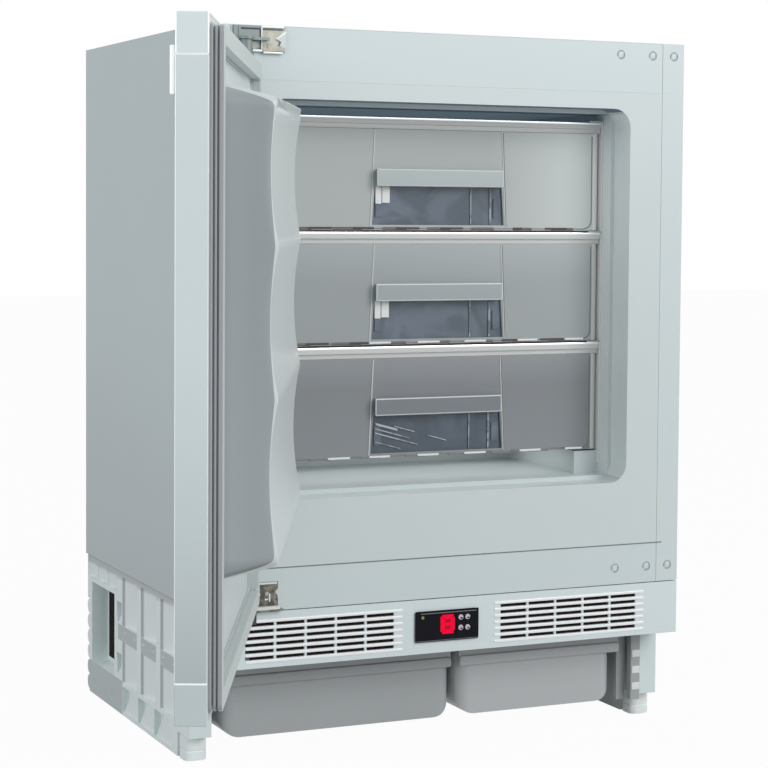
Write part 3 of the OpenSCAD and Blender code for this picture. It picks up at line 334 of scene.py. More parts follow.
def piece(name, bm, materials, body, replaced=(), limit=32):
    """Turns a bmesh into a smooth-shaded object that rides on a body.

    Edges sharper than the limit, in degrees, stay sharp. Replaced are the CAD nodes that the
    object stands for.
    """
    mesh = bpy.data.meshes.new(name)
    for face in bm.faces:
        face.smooth = True
    for edge in bm.edges:
        edge.smooth = not (len(edge.link_faces) == 2
                           and edge.calc_face_angle(0) > math.radians(limit))
    bm.to_mesh(mesh)
    bm.free()
    for material in materials:
        mesh.materials.append(material)
    made = bpy.data.objects.new(name, mesh)
    bpy.context.scene.collection.objects.link(made)
    weighted = made.modifiers.new("even_normals", "WEIGHTED_NORMAL")
    weighted.keep_sharp = True
    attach(made, body)
    if replaced:
        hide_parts(*replaced)


def merged_copy(name):
    """A joined-up copy of a CAD node's mesh with its flat faces whole."""
    bm = bmesh.new()
    bm.from_mesh(nodes[name].data)
    bmesh.ops.remove_doubles(bm, verts=bm.verts, dist=WELD_DISTANCE * MM)
    bmesh.ops.dissolve_limit(bm, angle_limit=FLAT_ANGLE, verts=bm.verts, edges=bm.edges)
    return bm


def rounded_off(bm, radius, segments=2):
    """Rounds the sharp edges of a bmesh and gives back the faces that this makes."""
    sharp = [edge for edge in bm.edges
             if len(edge.link_faces) == 2 and edge.calc_face_angle(0) > SHARP_ANGLE]
    return bmesh.ops.bevel(bm, geom=sharp, offset=radius * MM, offset_type="OFFSET",
                           segments=segments, profile=0.5, affect="EDGES", clamp_overlap=True,
                           material=-1)["faces"]


def soften(name, radius, segments=2, shade=None, others=(), reshape=None, cuts=(), edging=None):
    """Stands a copy with rounded edges in for a CAD node.

    The node's own finish has the number 0, and the others follow it. The function shade gives the
    number for a face, and edging is the number for the rounded edges. The cuts are planes, each a
    point and a direction, that part the faces where a tone changes. The function reshape moves a
    vertex of the copy.
    """
    bm = merged_copy(name)
    for point, direction in cuts:
        bmesh.ops.bisect_plane(bm, geom=[*bm.verts, *bm.edges, *bm.faces], dist=0.000001,
                               plane_co=point, plane_no=direction)
    if reshape:
        for vert in bm.verts:
            reshape(vert)
    if shade:
        for face in bm.faces:
            face.material_index = int(shade(face))
    rounded = rounded_off(bm, radius, segments)
    if edging is not None:
        for face in rounded:
            face.material_index = edging
    materials = [FINISH[name], *others]
    piece(name + "_soft", bm, materials, body_of(nodes[name])[0], (name,))


def blocks(name, material, body, place, boxes, radius=0.3, lean=0.0):
    """Small bars with rounded edges, each between two corners in millimetres.

    A lean draws their lower ends away from the cabinet's middle, by that share of their height.
    """
    bm = bmesh.new()
    for low, high in boxes:
        for vert in bmesh.ops.create_cube(bm, size=1)["verts"]:
            x, y, z = (a + (c + 0.5) * (b - a) for a, b, c in zip(low, high, vert.co))
            x += math.copysign(lean * (high[2] - z), x) if lean else 0
            vert.co = place(x, y, z)
    bmesh.ops.recalc_face_normals(bm, faces=bm.faces)
    rounded_off(bm, radius)
    piece(name, bm, [material], body)


def painted_side_shade(face):
    """Painted shade: a darker copy of the white steel for the outer faces at the left and the right."""
    return abs(face.normal.x) > 0.9 and abs(face.calc_center_median().x) > SIDE_X * MM


soften("outer_shell", 0.6, shade=painted_side_shade, others=[side_steel_painted_shade])

MOUTH_DEPTH = 70
MOUTH_STEP_Y = 28
MOUTH_LOW_Z = 300
MOUTH_HIGH_Z = 722
MOUTH_WALL_X = 205
MOUTH_ROOF_X = 216


def liner_light_and_shade(face):
    """Painted light on the side walls of the compartment's mouth, and painted shade in blue-grey on its
    ceiling.
    """
    middle = face.calc_center_median() / MM
    if middle.y - FRONT_Y / MM > MOUTH_DEPTH or middle.z < MOUTH_LOW_Z:
        return 0
    if middle.z > MOUTH_HIGH_Z and face.normal.z < -0.25 and abs(middle.x) < MOUTH_ROOF_X:
        return 2
    return 1 if abs(middle.x) > MOUTH_WALL_X and abs(face.normal.x) > 0.7 else 0


soften("inner_liner", 2.0, 3, liner_light_and_shade, [liner_painted_light, liner_roof_painted_shade],
       cuts=[(room(0, y, 0), (0, 1, 0)) for y in (MOUTH_DEPTH, MOUTH_STEP_Y)])
soften("top_strip", 0.8)
soften("bottom_strip", 0.8)

GRILLES = ((50, 252, 54, 194, 61, 182.5), (-246, -60, -240, 174, -240, 169))
GRILLE_ROWS = 6
GRILLE_PITCH = 7.4
LOWEST_BAR_Z = 116.9


def fitted_slots(vert):
    """Sets the ends of the two grilles where the photograph has them.

    GRILLES holds the reach of each grille, its start and length, and the new start and length.
    """
    x = vert.co.x / MM
    for low, high, start, length, new_start, new_length in GRILLES:
        if low < x < high:
            vert.co.x = (new_start + (x - start) * new_length / length) * MM


soften("plinth_panel", 0.5, reshape=fitted_slots)

POCKETS_Y = ((91, 149), (165, 223), (239, 297), (332, 366), (375, 409), (418, 452))
BASE_RIBS_Y = (149, 165, 223, 239)
BAND_Y = (91, 315)
BAND_Z = (90, 109)
PLATE_Z = 41
PLATE_Y = 297
POCKET_FLOOR_X = 280
SIDE_INNER_X = 270
LEG_INNER_X = 262
LEG_REAR_Y = 200


def base_tone(face):
    """Grey for the long band and the rear plate, with painted shade on the inner side of the left leg;
    painted light on the rest of the base's sides and on the pocket floors.
    """
    middle = face.calc_center_median() / MM
    x, y, z = abs(middle.x), middle.y - FRONT_Y / MM, middle.z
    turn = abs(face.normal.x)
    if x > SIDE_X and turn > 0.9:
        rib = BASE_RIBS_Y[0] < y < BASE_RIBS_Y[1] or BASE_RIBS_Y[2] < y < BASE_RIBS_Y[3]
        band = BAND_Z[0] < z < BAND_Z[1] and BAND_Y[0] < y < BAND_Y[1] and not rib
        return 1 if band or (z < PLATE_Z and y > PLATE_Y) else 2
    if POCKET_FLOOR_X < x < SIDE_X and turn > 0.8 and z > PLATE_Z:
        return 3
    if LEG_INNER_X < x < POCKET_FLOOR_X and turn > 0.7 and y < LEG_REAR_Y:
        return 1
    return 2 if x > SIDE_INNER_X and face.normal.y > -0.9 else 0


# Painted shade: each pocket floor is darker towards its rear end, by the next rib, and a little at its
# front end.
pocket_shade_stops = []
for start, end in POCKETS_Y:
    pocket_shade_stops += [(y * MM + FRONT_Y, tone) for y, tone in
                     ((start, 0.85), (start + 4, 1.0), (end - 7, 1.0), (end - 5, 0.55), (end, 0.5))]
fade(pocket_floor_light_and_shade, "Y", pocket_shade_stops)
# Painted shade: the light side parts are darker just under the base's top lip.
for light_part in (pale_painted_light, pocket_floor_light_and_shade):
    fade(light_part, "Z", ((0.0, 1.0), (0.162, 1.0), (0.168, 0.6), (0.174, 0.5)))
base_cuts = [(room(0, 0, z), (0, 0, 1)) for z in (PLATE_Z, *BAND_Z)]
base_cuts += [(room(0, y, 0), (0, 1, 0)) for y in (BAND_Y[0], *BASE_RIBS_Y, PLATE_Y, BAND_Y[1])]
# The base's rounded edges take the grey as painted shade outlines.
soften("base_frame", 1.0, shade=base_tone, others=[base_shade, pale_painted_light, pocket_floor_light_and_shade],
       cuts=base_cuts, edging=1)
soften("toe_tray_left", 2.0, 3)
soften("toe_tray_right", 2.0, 3)
soften("shelf_trims", 1.2)
# The door's and the upper cap's rounded edges carry the painted highlight.
soften("door_shell", 1.4, others=[edge_highlight], edging=1)
soften("door_cap_top", 1.6, 3, others=[edge_highlight], edging=1)
soften("door_cap_bottom", 1.6, 3)
soften("door_clip", 1.5, 3)
# A painted highlight along the seam above the lower cap.
blocks("cap_seam_highlight", edge_highlight, "door", on_door,
       [((257, -39.6, 215.2), (260.25, -12.4, 216.9))], 0.3)

BEZEL_FACE_Y = -0.6
BEZEL_MIDDLE_X = (-45, 27)
BEZEL_MIDDLE_Z = (128.5, 158.5)


def wider_bezel(vert):
    """Lets the controller's frame reach a little further over the plinth."""
    if (vert.co.y - FRONT_Y) / MM < BEZEL_FACE_Y:
        x, z = vert.co.x / MM, vert.co.z / MM
        if x < BEZEL_MIDDLE_X[0]:
            vert.co.x = (x - 1) * MM
        elif x > BEZEL_MIDDLE_X[1]:
            vert.co.x = (x + 5) * MM
        if z < BEZEL_MIDDLE_Z[0]:
            vert.co.z = (z - 3) * MM
        elif z > BEZEL_MIDDLE_Z[1]:
            vert.co.z = (z + 0.5) * MM


soften("controller_bezel", 0.4, reshape=wider_bezel)

FOOT_REAR_Y = 85
FOOT_SHARE = 0.7


def slim_foot(vert):
    """Draws the front of a foot back to where the photograph has it."""
    y = (vert.co.y - FRONT_Y) / MM
    vert.co.y = FRONT_Y + (FOOT_REAR_Y - (FOOT_REAR_Y - y) * FOOT_SHARE) * MM


for side in ("left", "right"):
    soften("foot_" + side, 1.2, 3, reshape=slim_foot)

FACE_OUT = (on_door(0, 1, 0) - on_door(0, 0, 0)).normalized()
LINER_FLAT = on_door(0, LINER_Y, 0).dot(FACE_OUT)
# Painted shade: a dark band along the plug's lower end, and the walls lighter near the liner's flat
# than out at the face.
fade(plug_wall_painted_shade, tuple(Vector((0, 0, 1)) - FACE_OUT / 4),
     [(z - LINER_FLAT / 4, tone) for z, tone in
      ((0.29, 0.5), (0.298, 0.56), (0.3005, 1.0), (0.4, 1.0))])
fade(plug_wall_painted_shade, tuple(FACE_OUT),
     [(LINER_FLAT + rise, tone) for rise, tone in
      ((0, 1.3), (0.014, 1.12), (0.035, 0.96), (0.056, 0.9))])

SEALING_FACE_Y = -1


def gasket_tone(face):
    """The gasket's own light grey for its sealing face and for its sides away from the door's free
    edge; the rest keeps the darker grey, painted shade in the grooves by the free edge.
    """
    x, y, z = shut(face.calc_center_median())
    from_free_edge = DOOR_HALF - x
    inset = min(DOOR_HALF - abs(x), z - DOOR_BOTTOM, DOOR_TOP - z)
    sealing = abs(face.normal.dot(FACE_OUT)) > 0.9 and y > SEALING_FACE_Y
    return inset < from_free_edge - 1 or sealing


soften("door_gasket", 0.7, 2, gasket_tone, [gasket_face])
blocks("gasket_fillets", gasket_face, "door", on_door,
       [((-233.6, -9.7, 750.6), (230, -4, 753.8)), ((-233.6, -9.7, 203.2), (230, -4, 206.4)),
        ((-236.8, -9.7, 206), (-233.6, -4, 751))], 0.2)

FOAM_ROOT_Y = -14
PLUG_MIDDLE_Z = 507


def inside_plug(vert):
    """Draws the foam of the plug back from the moulded liner."""
    x, y, z = shut(vert.co)
    if y > FOAM_ROOT_Y + 1:
        vert.co = on_door(x * 0.95, FOAM_ROOT_Y + (y - FOAM_ROOT_Y) * 0.8,
                          PLUG_MIDDLE_Z + (z - PLUG_MIDDLE_Z) * 0.93)


soften("door_foam", 0.3, reshape=inside_plug)


def soft_least(a, b, blend):
    """The smaller of two heights, with a rounded change from one to the other."""
    near = max(blend - abs(a - b), 0) / blend
    return min(a, b) - near * near * blend / 4


PLUG_HALF = 230
PLUG_BOTTOM = 293
PLUG_DEPTH = 56.0
HOLLOW_DEPTH = 7
HOLLOW_HALF = 65.5
HOLLOW_RADIUS = 309.9
HOLLOW_DROP = 59
PLUG_CORNER = 92
SIDE_SLOPE = 3.5
TOP_SLOPE = 4.3
LOW_SLOPE = 4.0
CREST_RISE = 13
GROOVE_DEPTH = 7
GROOVE_LOW = 13
GROOVE_HIGH = 2
RIDGE_BLEND = 9
ROOT_BLEND = 5
PLUG_WALL_X = (214.6, 230.4)
RIM_LINE_X = 229
RIM_LINE = 1.8
LINER_EDGE = 1.8


def plug_crest(x):
    """Height above the floor of the plug's upper ridge, which falls towards the free edge."""
    return 720 - 11 * (x + 214) / 428


def plug_height(x, z):
    """Height of the door's moulded plug over the flat of its liner, in millimetres.

    A groove under the upper ridge grows deeper towards the door's free edge.
    """
    face = PLUG_DEPTH
    for shelf in SHELF_Z:
        off = abs(z - (shelf - HOLLOW_DROP))
        if off < HOLLOW_HALF:
            face = (PLUG_DEPTH - HOLLOW_DEPTH + HOLLOW_RADIUS
                    - math.sqrt(HOLLOW_RADIUS ** 2 - off * off))
    crest = plug_crest(x)
    if crest - GROOVE_LOW < z < crest - GROOVE_HIGH and x < 210:
        share = min((crest - GROOVE_HIGH - z) / 3, (z - crest + GROOVE_LOW) / 7, 1)
        face -= GROOVE_DEPTH * share * (x + 300) / 514
    side = (PLUG_HALF - abs(x)) * SIDE_SLOPE
    end = (z - PLUG_BOTTOM) * LOW_SLOPE
    if z > PLUG_MIDDLE_Z:
        end = (crest + CREST_RISE - z) * TOP_SLOPE
    slope = min(side, end)
    if side < PLUG_CORNER and end < PLUG_CORNER:
        slope = PLUG_CORNER - math.hypot(PLUG_CORNER - side, PLUG_CORNER - end)
    height = soft_least(slope, face, RIDGE_BLEND)
    return -soft_least(-height, 0, ROOT_BLEND)


def door_plug():
    """The door's liner: a flat border, and the plug with three hollows across it.

    The grid's columns and rows lie closest together where the surface bends.
    """
    steps = (-3, -1.5, -0.7, 0, 0.7, 1.5, 2.5, 4, 6, 8, 10, 11.5, 12.5, 13.5, 14.5, 15.5, 16.5,
             18.5, 20, 21.5, 21.8, 22.4, 23, 24)
    half = [PLUG_HALF - step for step in steps]
    columns = [-254] + [-x for x in half] + [-120, 0, 120] + half[::-1] + [254]
    rows = [183, 288, 290, 291.5] + [292.5 + 1.25 * i for i in range(20)]
    rows += [320 + 4.5 * i for i in range(84)]
    rows += [699, 702, 704, 706, 708, 710, 712, 713.5, 714.5, 715.2, 716, 717, 718, 719, 720]
    rows += [721, 722, 723, 724, 725, 726, 727, 727.8, 728.5, 729, 729.6, 730.5, 732, 774]
    bm = bmesh.new()
    bmesh.ops.create_grid(bm, x_segments=len(columns) - 1, y_segments=len(rows) - 1, size=1)
    for vert in bm.verts:
        x = columns[round((vert.co.x + 1) / 2 * (len(columns) - 1))]
        z = rows[round((vert.co.y + 1) / 2 * (len(rows) - 1))]
        vert.co = on_door(x, LINER_Y + plug_height(x, z), z)
    bmesh.ops.reverse_faces(bm, faces=bm.faces)
    rim = [edge for edge in bm.edges if edge.is_boundary]
    skirt = bmesh.ops.extrude_edge_only(bm, edges=rim)["geom"]
    moved = [item for item in skirt if isinstance(item, bmesh.types.BMVert)]
    bmesh.ops.translate(bm, verts=moved, vec=FACE_OUT * -LINER_EDGE * MM)
    # Painted shade on the plug's side walls, and a painted highlight along the rim line under their
    # upper end.
    for face in bm.faces:
        x, y, z = shut(face.calc_center_median())
        over = z - (plug_crest(x) + CREST_RISE - (y - LINER_Y) / TOP_SLOPE)
        on_side = PLUG_WALL_X[0] < abs(x) < PLUG_WALL_X[1] and z > PLUG_BOTTOM - 1
        face.material_index = 1 if on_side and over < 0 else 0
        if on_side and abs(x) < RIM_LINE_X and 0 < over < RIM_LINE:
            face.material_index = 2
    piece("door_liner_moulded", bm, [plug_plastic, plug_wall_painted_shade, edge_highlight], "door", ("door_liner",), 40)


CENTRE_SHIFT = 6
HANDLE_END_X = 78.5
HANDLE_BACK_Y = 50
HANDLE_UNDERCUT = 4
FRONT_END_X = 195
FRONT_END_RADIUS = 18
NEW_END_X = 209
NEW_END_RADIUS = 10


def centred(vert):
    """Sets the middle of a drawer a little to the right of the cabinet's middle."""
    vert.co.x += CENTRE_SHIFT * MM


def blended_handle(vert):
    """Undercuts the left end of a handle, so that its front meets the drawer's rib."""
    if vert.co.x < -HANDLE_END_X * MM and vert.co.y < FRONT_Y + HANDLE_BACK_Y * MM:
        vert.co.x -= HANDLE_UNDERCUT * MM
    centred(vert)


def wider_front(vert):
    """Brings the rounded ends of a drawer front out towards the compartment's walls."""
    reach = abs(vert.co.x) / MM
    deep = (vert.co.y - FRONT_Y) / MM - DRAWER_Y
    if reach < 110:
        centred(vert)
    if reach > FRONT_END_X - 5:
        new_reach = NEW_END_X + (reach - FRONT_END_X) * NEW_END_RADIUS / FRONT_END_RADIUS
        vert.co.x = math.copysign(new_reach * MM, vert.co.x)
        if deep < FRONT_END_RADIUS + 1:
            vert.co.y = FRONT_Y + (DRAWER_Y + deep * NEW_END_RADIUS / FRONT_END_RADIUS) * MM


def turned_line(name, material, body, x, z, radius):
    """A thin line round the lower outer corner of a drawer front."""
    bm = bmesh.new()
    line_y = DRAWER_Y + 0.2
    start = room(x, line_y, z + radius)
    section = [bm.verts.new(start + Vector((a * MM, b * MM, 0)))
               for a, b in ((-0.7, -0.5), (0.7, -0.5), (0.7, 0.5), (-0.7, 0.5))]
    outline = bm.faces.new(section)
    bmesh.ops.spin(bm, geom=[outline, *outline.verts, *outline.edges], axis=(0, 1, 0), steps=8,
                   cent=room(x - radius, line_y, z + radius), angle=math.pi / 2)
    bmesh.ops.recalc_face_normals(bm, faces=bm.faces)
    piece(name, bm, [material], body)


def handle_end_painted_light(face):
    """Painted light on the left end of a handle, which stands in the door's shade."""
    return face.normal.x < -0.6


def front_end_highlight(face):
    """Painted highlight on the rounded ends of a drawer front."""
    return abs(face.calc_center_median().x) > 208.5 * MM


SHADOW_AND_HIGHLIGHT_DASHES = {
    "top": (((-162, -134), (-108, -82), (-54, -25), (2, 31), (96, 108), (139, 168)), ()),
    "middle": (((-165, -137), (-111, -88), (83, 103), (134, 165)),
               ((-87, -60), (-26, 2), (34, 62), (104, 130), (167, 192))),
    "lower": ((), ((-137, -110), (-86, -60), (-25, 2), (35, 63), (108, 136), (169, 192))),
}


def place_of_folds(x, y, z):
    """Place of a fold of the bag seen through the lowest window, slanting down to the right."""
    return room(x + 12, y, DRAWER_Z["lower"] + z - (x + 78) * 0.28)


def drawer_parts(level, z):
    """The drawer at a level: its front with ribs and seams, its handle, window, tub and dashes."""
    body = "drawer_" + level
    mid = CENTRE_SHIFT
    soften("front_" + level, 0.8, shade=front_end_highlight,
           others=[white_and_highlight if level == "top" else shelf_plastic], reshape=wider_front)
    # The handle's rounded edges and left end take the painted highlight.
    soften("handle_" + level, 1.6, 2, handle_end_painted_light, [handle_highlights[level]], blended_handle, edging=1)
    soften("window_" + level, 0.2, reshape=centred)
    soften("basket_" + level, 0.8)
    blocks("rib_left_" + level, shelf_plastic, body, room,
           [((mid - 82.4, 55.2, z + 1), (mid - 81, 57, z + 111))], 0.3, 0.045)
    blocks("rib_right_" + level, shelf_plastic, body, room,
           [((mid + 80.2, 55.2, z + 1), (mid + 81.4, 57, z + 111))], 0.3, 0.045)
    blocks("seam_right_" + level, drawer_line, body, room,
           [((mid + 81.9, 55.7, z + 1), (mid + 82.8, 57, z + 111))], 0.2, 0.045)
    blocks("seam_end_" + level, drawer_line, body, room,
           [((206.6, 55.7, z + 9), (207.8, 57, z + 109)),
            ((-207.4, 55.7, z + 2), (-206.4, 57, z + 109))], 0.2)
    turned_line("seam_corner_" + level, drawer_line, body, 207.2, z - 0.6, 10)
    # A painted shade line along the front's lower edge.
    blocks("lower_line_" + level, drawer_line, body, room,
           [((-207, 55.6, z - 1.6), (198, 57, z - 0.4))], 0.2)
    if level != "lower":
        # A painted shadow in the gap under the drawer front.
        blocks("gap_shadow_" + level, gap_shadow_brown, body, room,
               [((-206, 58.2, z - 3.9), (206, 60, z - 0.2))], 0.3)
    # Dashes along the front's lower edge: the dark ones are painted shadow, the light ones a painted
    # highlight where light comes through the slots.
    for kind, tone, dashes in zip(("dark", "light"), (fold_shadow, white_and_highlight), SHADOW_AND_HIGHLIGHT_DASHES[level]):
        if dashes:
            blocks(kind + "_shadow_and_highlight_dashes_" + level, tone, body, room,
                   [((x0 + mid, 55.1, z - 1.9), (x1 + mid, 56.8, z + 0.4)) for x0, x1 in dashes])
    blocks("slot_covers_" + level, pane, body, room,
           [((x, 57.4, z + 12), (x + 9, 59, z + 34)) for x in (mid - 79.5, mid + 71)], 0.2)
    if level != "lower":
        blocks("tab_" + level, white_and_highlight, body, room,
               [((mid - 80, 56.4, z + 27), (mid - 72.5, 58.4, z + 47)),
                ((mid - 71.5, 56.8, z + 28), (mid - 62, 58.4, z + 47))], 0.4)
    else:
        blocks("bag_folds_" + level, bag_crease, body, place_of_folds,
               [((-84, 57, 14), (-52, 58, 15)), ((-84, 57, 24), (-30, 58, 25.4)),
                ((-84, 57, 29), (-40, 58, 30.2)), ((-84, 57, 34), (-56, 58, 36.6)),
                ((-60, 57, 38), (-34, 58, 39)), ((-18, 57, 38), (6, 58, 39))], 0.3)
    blocks("window_bars_" + level, bag_crease, body, room,
           [((47, 57.4, z + 4), (48.2, 58.6, z + 46)), ((72, 57.4, z + 4), (73.6, 58.6, z + 46))], 0.3)


def fixed(name, material, boxes, radius=0.3):
    """Small bars with rounded edges on the cabinet."""
    blocks(name, material, "cabinet", room, boxes, radius)


def cut_plate(name, material, corners, front, back):
    """A small flat plate on the cabinet, with its outline given by its corners from the front."""
    bm = bmesh.new()
    outline = bm.faces.new([bm.verts.new(room(x, front, z)) for x, z in corners])
    walls = bmesh.ops.extrude_face_region(bm, geom=[outline])["geom"]
    moved = [item for item in walls if isinstance(item, bmesh.types.BMVert)]
    bmesh.ops.translate(bm, verts=moved, vec=(0, (back - front) * MM, 0))
    bmesh.ops.recalc_face_normals(bm, faces=bm.faces)
    piece(name, bm, [material], "cabinet")


def shelf_fittings():
    """Painted highlights on the lips of the shelf trims, the trims' seals, and strips of painted light
    on the walls.
    """
    fixed("trim_lip_highlights", edge_highlight,
          [((-218.8, 53.4, z + 10.2), (218.8, 56, z + 12.9)) for z in SHELF_Z], 0.8)
    fixed("trim_seals", shelf_plastic,
          [((-218.8, 56.6, z - 0.4), (218.8, 60, z + 0.4)) for z in SHELF_Z], 0.1)
    fixed("wall_painted_light_strips", white_and_highlight,
          [((219.6, 55, 312), (221.9, 66, 720)), ((-221.9, 55, 312), (-219.6, 66, 720))], 0.5)


def grille_fittings():
    """The filter cloth behind the two grilles, and the bars between their slots in a white with a
    painted highlight.
    """
    fixed("grille_filters", filter_black,
          [((-244, 3.4, 117), (-66, 5.4, 166)), ((57, 3.4, 117), (248, 5.4, 166))], 0.4)
    bar_rows = [LOWEST_BAR_Z + GRILLE_PITCH * row for row in range(GRILLE_ROWS + 1)]
    fixed("grille_bars", bar_highlight_white,
          [((x0, -0.9, z), (x1, 0.4, z + 3.2)) for x0, x1 in ((-250, -62), (54, 253))
           for z in bar_rows], 0.6)


def base_fittings():
    """The felt in the base's slots, marks of painted light in its pockets, the toe trays' rims, the
    right leg.
    """
    fixed("slot_felt", filter_black,
          [((-278.1, 399, 46), (-275, 423, 135)), ((275, 399, 46), (278.1, 423, 135))])
    pocket_marks = [(y, 98.6, 4.8) for y in (98.3, 138.3, 172.3, 212.3, 246.3, 286.3)]
    rear_marks = [(y, 11, 9) for y in (346.8, 420.8)]
    # Painted light: small white marks on the pockets and the rear plate, in place of their small lit
    # details.
    fixed("base_painted_light_marks", white_and_highlight,
          [((x - 1.4, y, z), (x + 1.4, y + 4.4, z + high)) for x in (-297.4, 297.4)
           for y, z, high in pocket_marks + rear_marks], 0.8)
    fixed("tray_rim_left", tray_plastic, [((-262, 43.5, 82), (22, 50, 94.5))], 3.1)
    fixed("tray_rim_right", tray_painted_light, [((32, 43.5, 82), (247, 50, 94.5))], 3.1)
    fixed("tray_necks", tray_painted_light,
          [((-262, 47, 92), (22, 53, 113)), ((32, 47, 92), (247, 53, 113))], 1.0)
    fixed("leg_ladder", white_and_highlight, [((264.5, 43.6, z), (275.5, 52, z + 9)) for z in (34, 54, 74)], 1.0)
    fixed("leg_web", tray_plastic,
          [((263.5, 45, 22), (276.5, 54, 110)), ((252, 60, 20), (264, 66, 110))], 0.8)


def controller_fittings():
    """The lit digit and lamp, the bezel's two fine lines and the marks on the four buttons."""
    fixed("digit", red_light,
          [((-14.6, -1.9, 136), (-9.2, -1.5, 151)), ((-2.6, -1.9, 136), (2.8, -1.5, 151)),
           ((-13, -1.9, 149.4), (1.2, -1.5, 154.4)), ((-13, -1.9, 132.4), (1.2, -1.5, 137.4)),
           ((-10, -1.9, 141.6), (-2, -1.5, 145.2))], 0.1)
    fixed("digit_glow", dim_red, [((-9.3, -1.7, 137.2), (-2.5, -1.4, 149.6))], 0.1)
    fixed("lamp_green", green_light, [((-39, -1.9, 151.4), (-35.8, -1.5, 154))], 0.4)
    fixed("bezel_top_line", bezel_line,
          [((-40, -2.3, 156.6), (30, -1.9, 157.5)), ((-46, -2.2, 125.4), (32, -1.9, 126))], 0.1)
    fixed("button_marks", gloss_black,
          [((x - 0.4, -2.75, z - 1.9), (x + 1.9, -2.35, z - 0.2)) for x, z in
           ((10.3, 150.5), (19, 150.5), (10.3, 138.5), (19, 138.5))], 0.1)


def upper_hinge_fittings():
    """The plates of the upper hinge with their notch, painted highlights on their lips and painted
    shadow at their dark edges.
    """
    fixed("hinge_plate_front", zinc, [((-234.5, -3.6, 784), (-208.5, -2.2, 808.4))], 0.5)
    cut_plate("hinge_plate_notch", strip_plastic,
              ((-207.6, 804.6), (-211, 802.6), (-218.5, 797.4), (-213.5, 794), (-215.5, 790.6),
               (-207.6, 786.8)), -3.9, -3.2)
    cut_plate("hinge_plate_notch_highlight", zinc_highlight,
              ((-208, 806), (-211, 803.8), (-219.4, 797.6), (-218.4, 797), (-210.6, 802),
               (-208, 804)), -4.2, -3.2)
    cut_plate("hinge_plate_notch_shadow", zinc_dark,
              ((-213.2, 794.4), (-219, 798), (-220, 796.8), (-215.2, 793.4), (-217, 790.4),
               (-215.4, 789.8)), -4.1, -3.2)
    fixed("hinge_plate_shadow", fold_shadow,
          [((-237.6, -4.3, 790), (-236.6, -2.2, 808)), ((-258, -3.9, 784.6), (-243, -2.2, 786)),
           ((-234, -4, 806.6), (-211, -2.4, 807.8)), ((-259, -4.2, 807), (-238, -2.2, 808.6))])
    fixed("hinge_plate_highlights", zinc_highlight,
          [((-236.8, -5.2, 786), (-235, -2.2, 811)), ((-237, -5.2, 808.8), (-210, -2.2, 811.2)),
           ((-246, -4.4, 783), (-235, -2.2, 785.6)), ((-234, -4.8, 781.4), (-211, -2.2, 783.6))], 0.6)
    fixed("hinge_link_plate", zinc_dull, [((-262, -3.4, 787), (-237, -2.2, 810))], 0.4)


def lower_hinge_fittings():
    """Painted highlights on the lips and spots of the lower hinge bracket, and its notch."""
    fixed("lower_bracket_highlights", white_and_highlight,
          [((-248, -0.26, 203.4), (-213.5, 0.3, 205.6)), ((-248, -6.4, 176.3), (-212.5, -0.2, 179.6)),
           ((-237.6, -0.27, 191), (-233.4, 0.2, 194.4))], 0.2)
    fixed("lower_bracket_glints", zinc_highlight,
          [((-223, -0.27, 184), (-221.6, 0.2, 193)), ((-228, -0.27, 186), (-224, 0.2, 187.4))], 0.1)
    cut_plate("lower_bracket_notch", strip_plastic,
              ((-206.2, 206), (-212.6, 206), (-212.6, 198.6), (-216, 194.6), (-213.4, 191),
               (-212.6, 186), (-212.6, 176), (-206.2, 176)), -0.27, 0.5)


CAP_FACE_Y = 0.2
CAP_SINK = 1.1
CAP_RINGS = ((0.3, 0.0), (1.7, 0.9), (1.3, 0.2))
SMALLEST_DISC = 5


def domed_caps():
    """The round screw covers, each with a raised middle and a sloping rim, with a painted highlight on
    the rim's upper left and painted shade on its lower right.
    """
    bm = merged_copy("screw_caps")
    for vert in bm.verts:
        if vert.co.y < FRONT_Y + CAP_FACE_Y * MM:
            vert.co.y += CAP_SINK * MM
    for width, rise in CAP_RINGS:
        discs = [face for face in bm.faces
                 if face.normal.y < -0.95 and face.calc_area() > SMALLEST_DISC * MM * MM]
        bmesh.ops.inset_individual(bm, faces=discs, thickness=width * MM, depth=rise * MM)
    # Painted highlight on the rim faces that face up and left, painted shade on those that face down
    # and right.
    for face in bm.faces:
        slope = face.normal.z - face.normal.x
        face.material_index = 1 if slope > 0.25 else 2 if slope < -0.25 else 0
    piece("screw_caps_domed", bm, [strip_plastic, pale_painted_light, bracket_grey], "cabinet",
          ("screw_caps",), 20)


def cabinet_seams():
    """Painted shade lines along the seams of the trim strips, a painted shadow in a gap of the plinth,
    and the lip under the side walls.
    """
    fixed("strip_seam_low", plug_wall_painted_shade, [((-277, -0.25, 220.2), (277, 0.4, 221.5))], 0.1)
    fixed("strip_seam_high", cap_painted_shade, [((-277, -0.25, 753.5), (277, 0.4, 754.4))], 0.1)
    fixed("plinth_gap_shadow", fold_shadow, [((-244, -1.6, 160), (-238, -0.2, 174))])
    fixed("lower_lip_of_cabinet", white_and_highlight,
          [((-298.9, 62, 170), (-296.5, 446, 173.4)), ((296.5, 62, 170), (298.9, 446, 173.4))], 0.7)


door_plug()
for level, bottom in DRAWER_Z.items():
    drawer_parts(level, bottom)
shelf_fittings()
grille_fittings()
base_fittings()
controller_fittings()
upper_hinge_fittings()
lower_hinge_fittings()
domed_caps()
cabinet_seams()


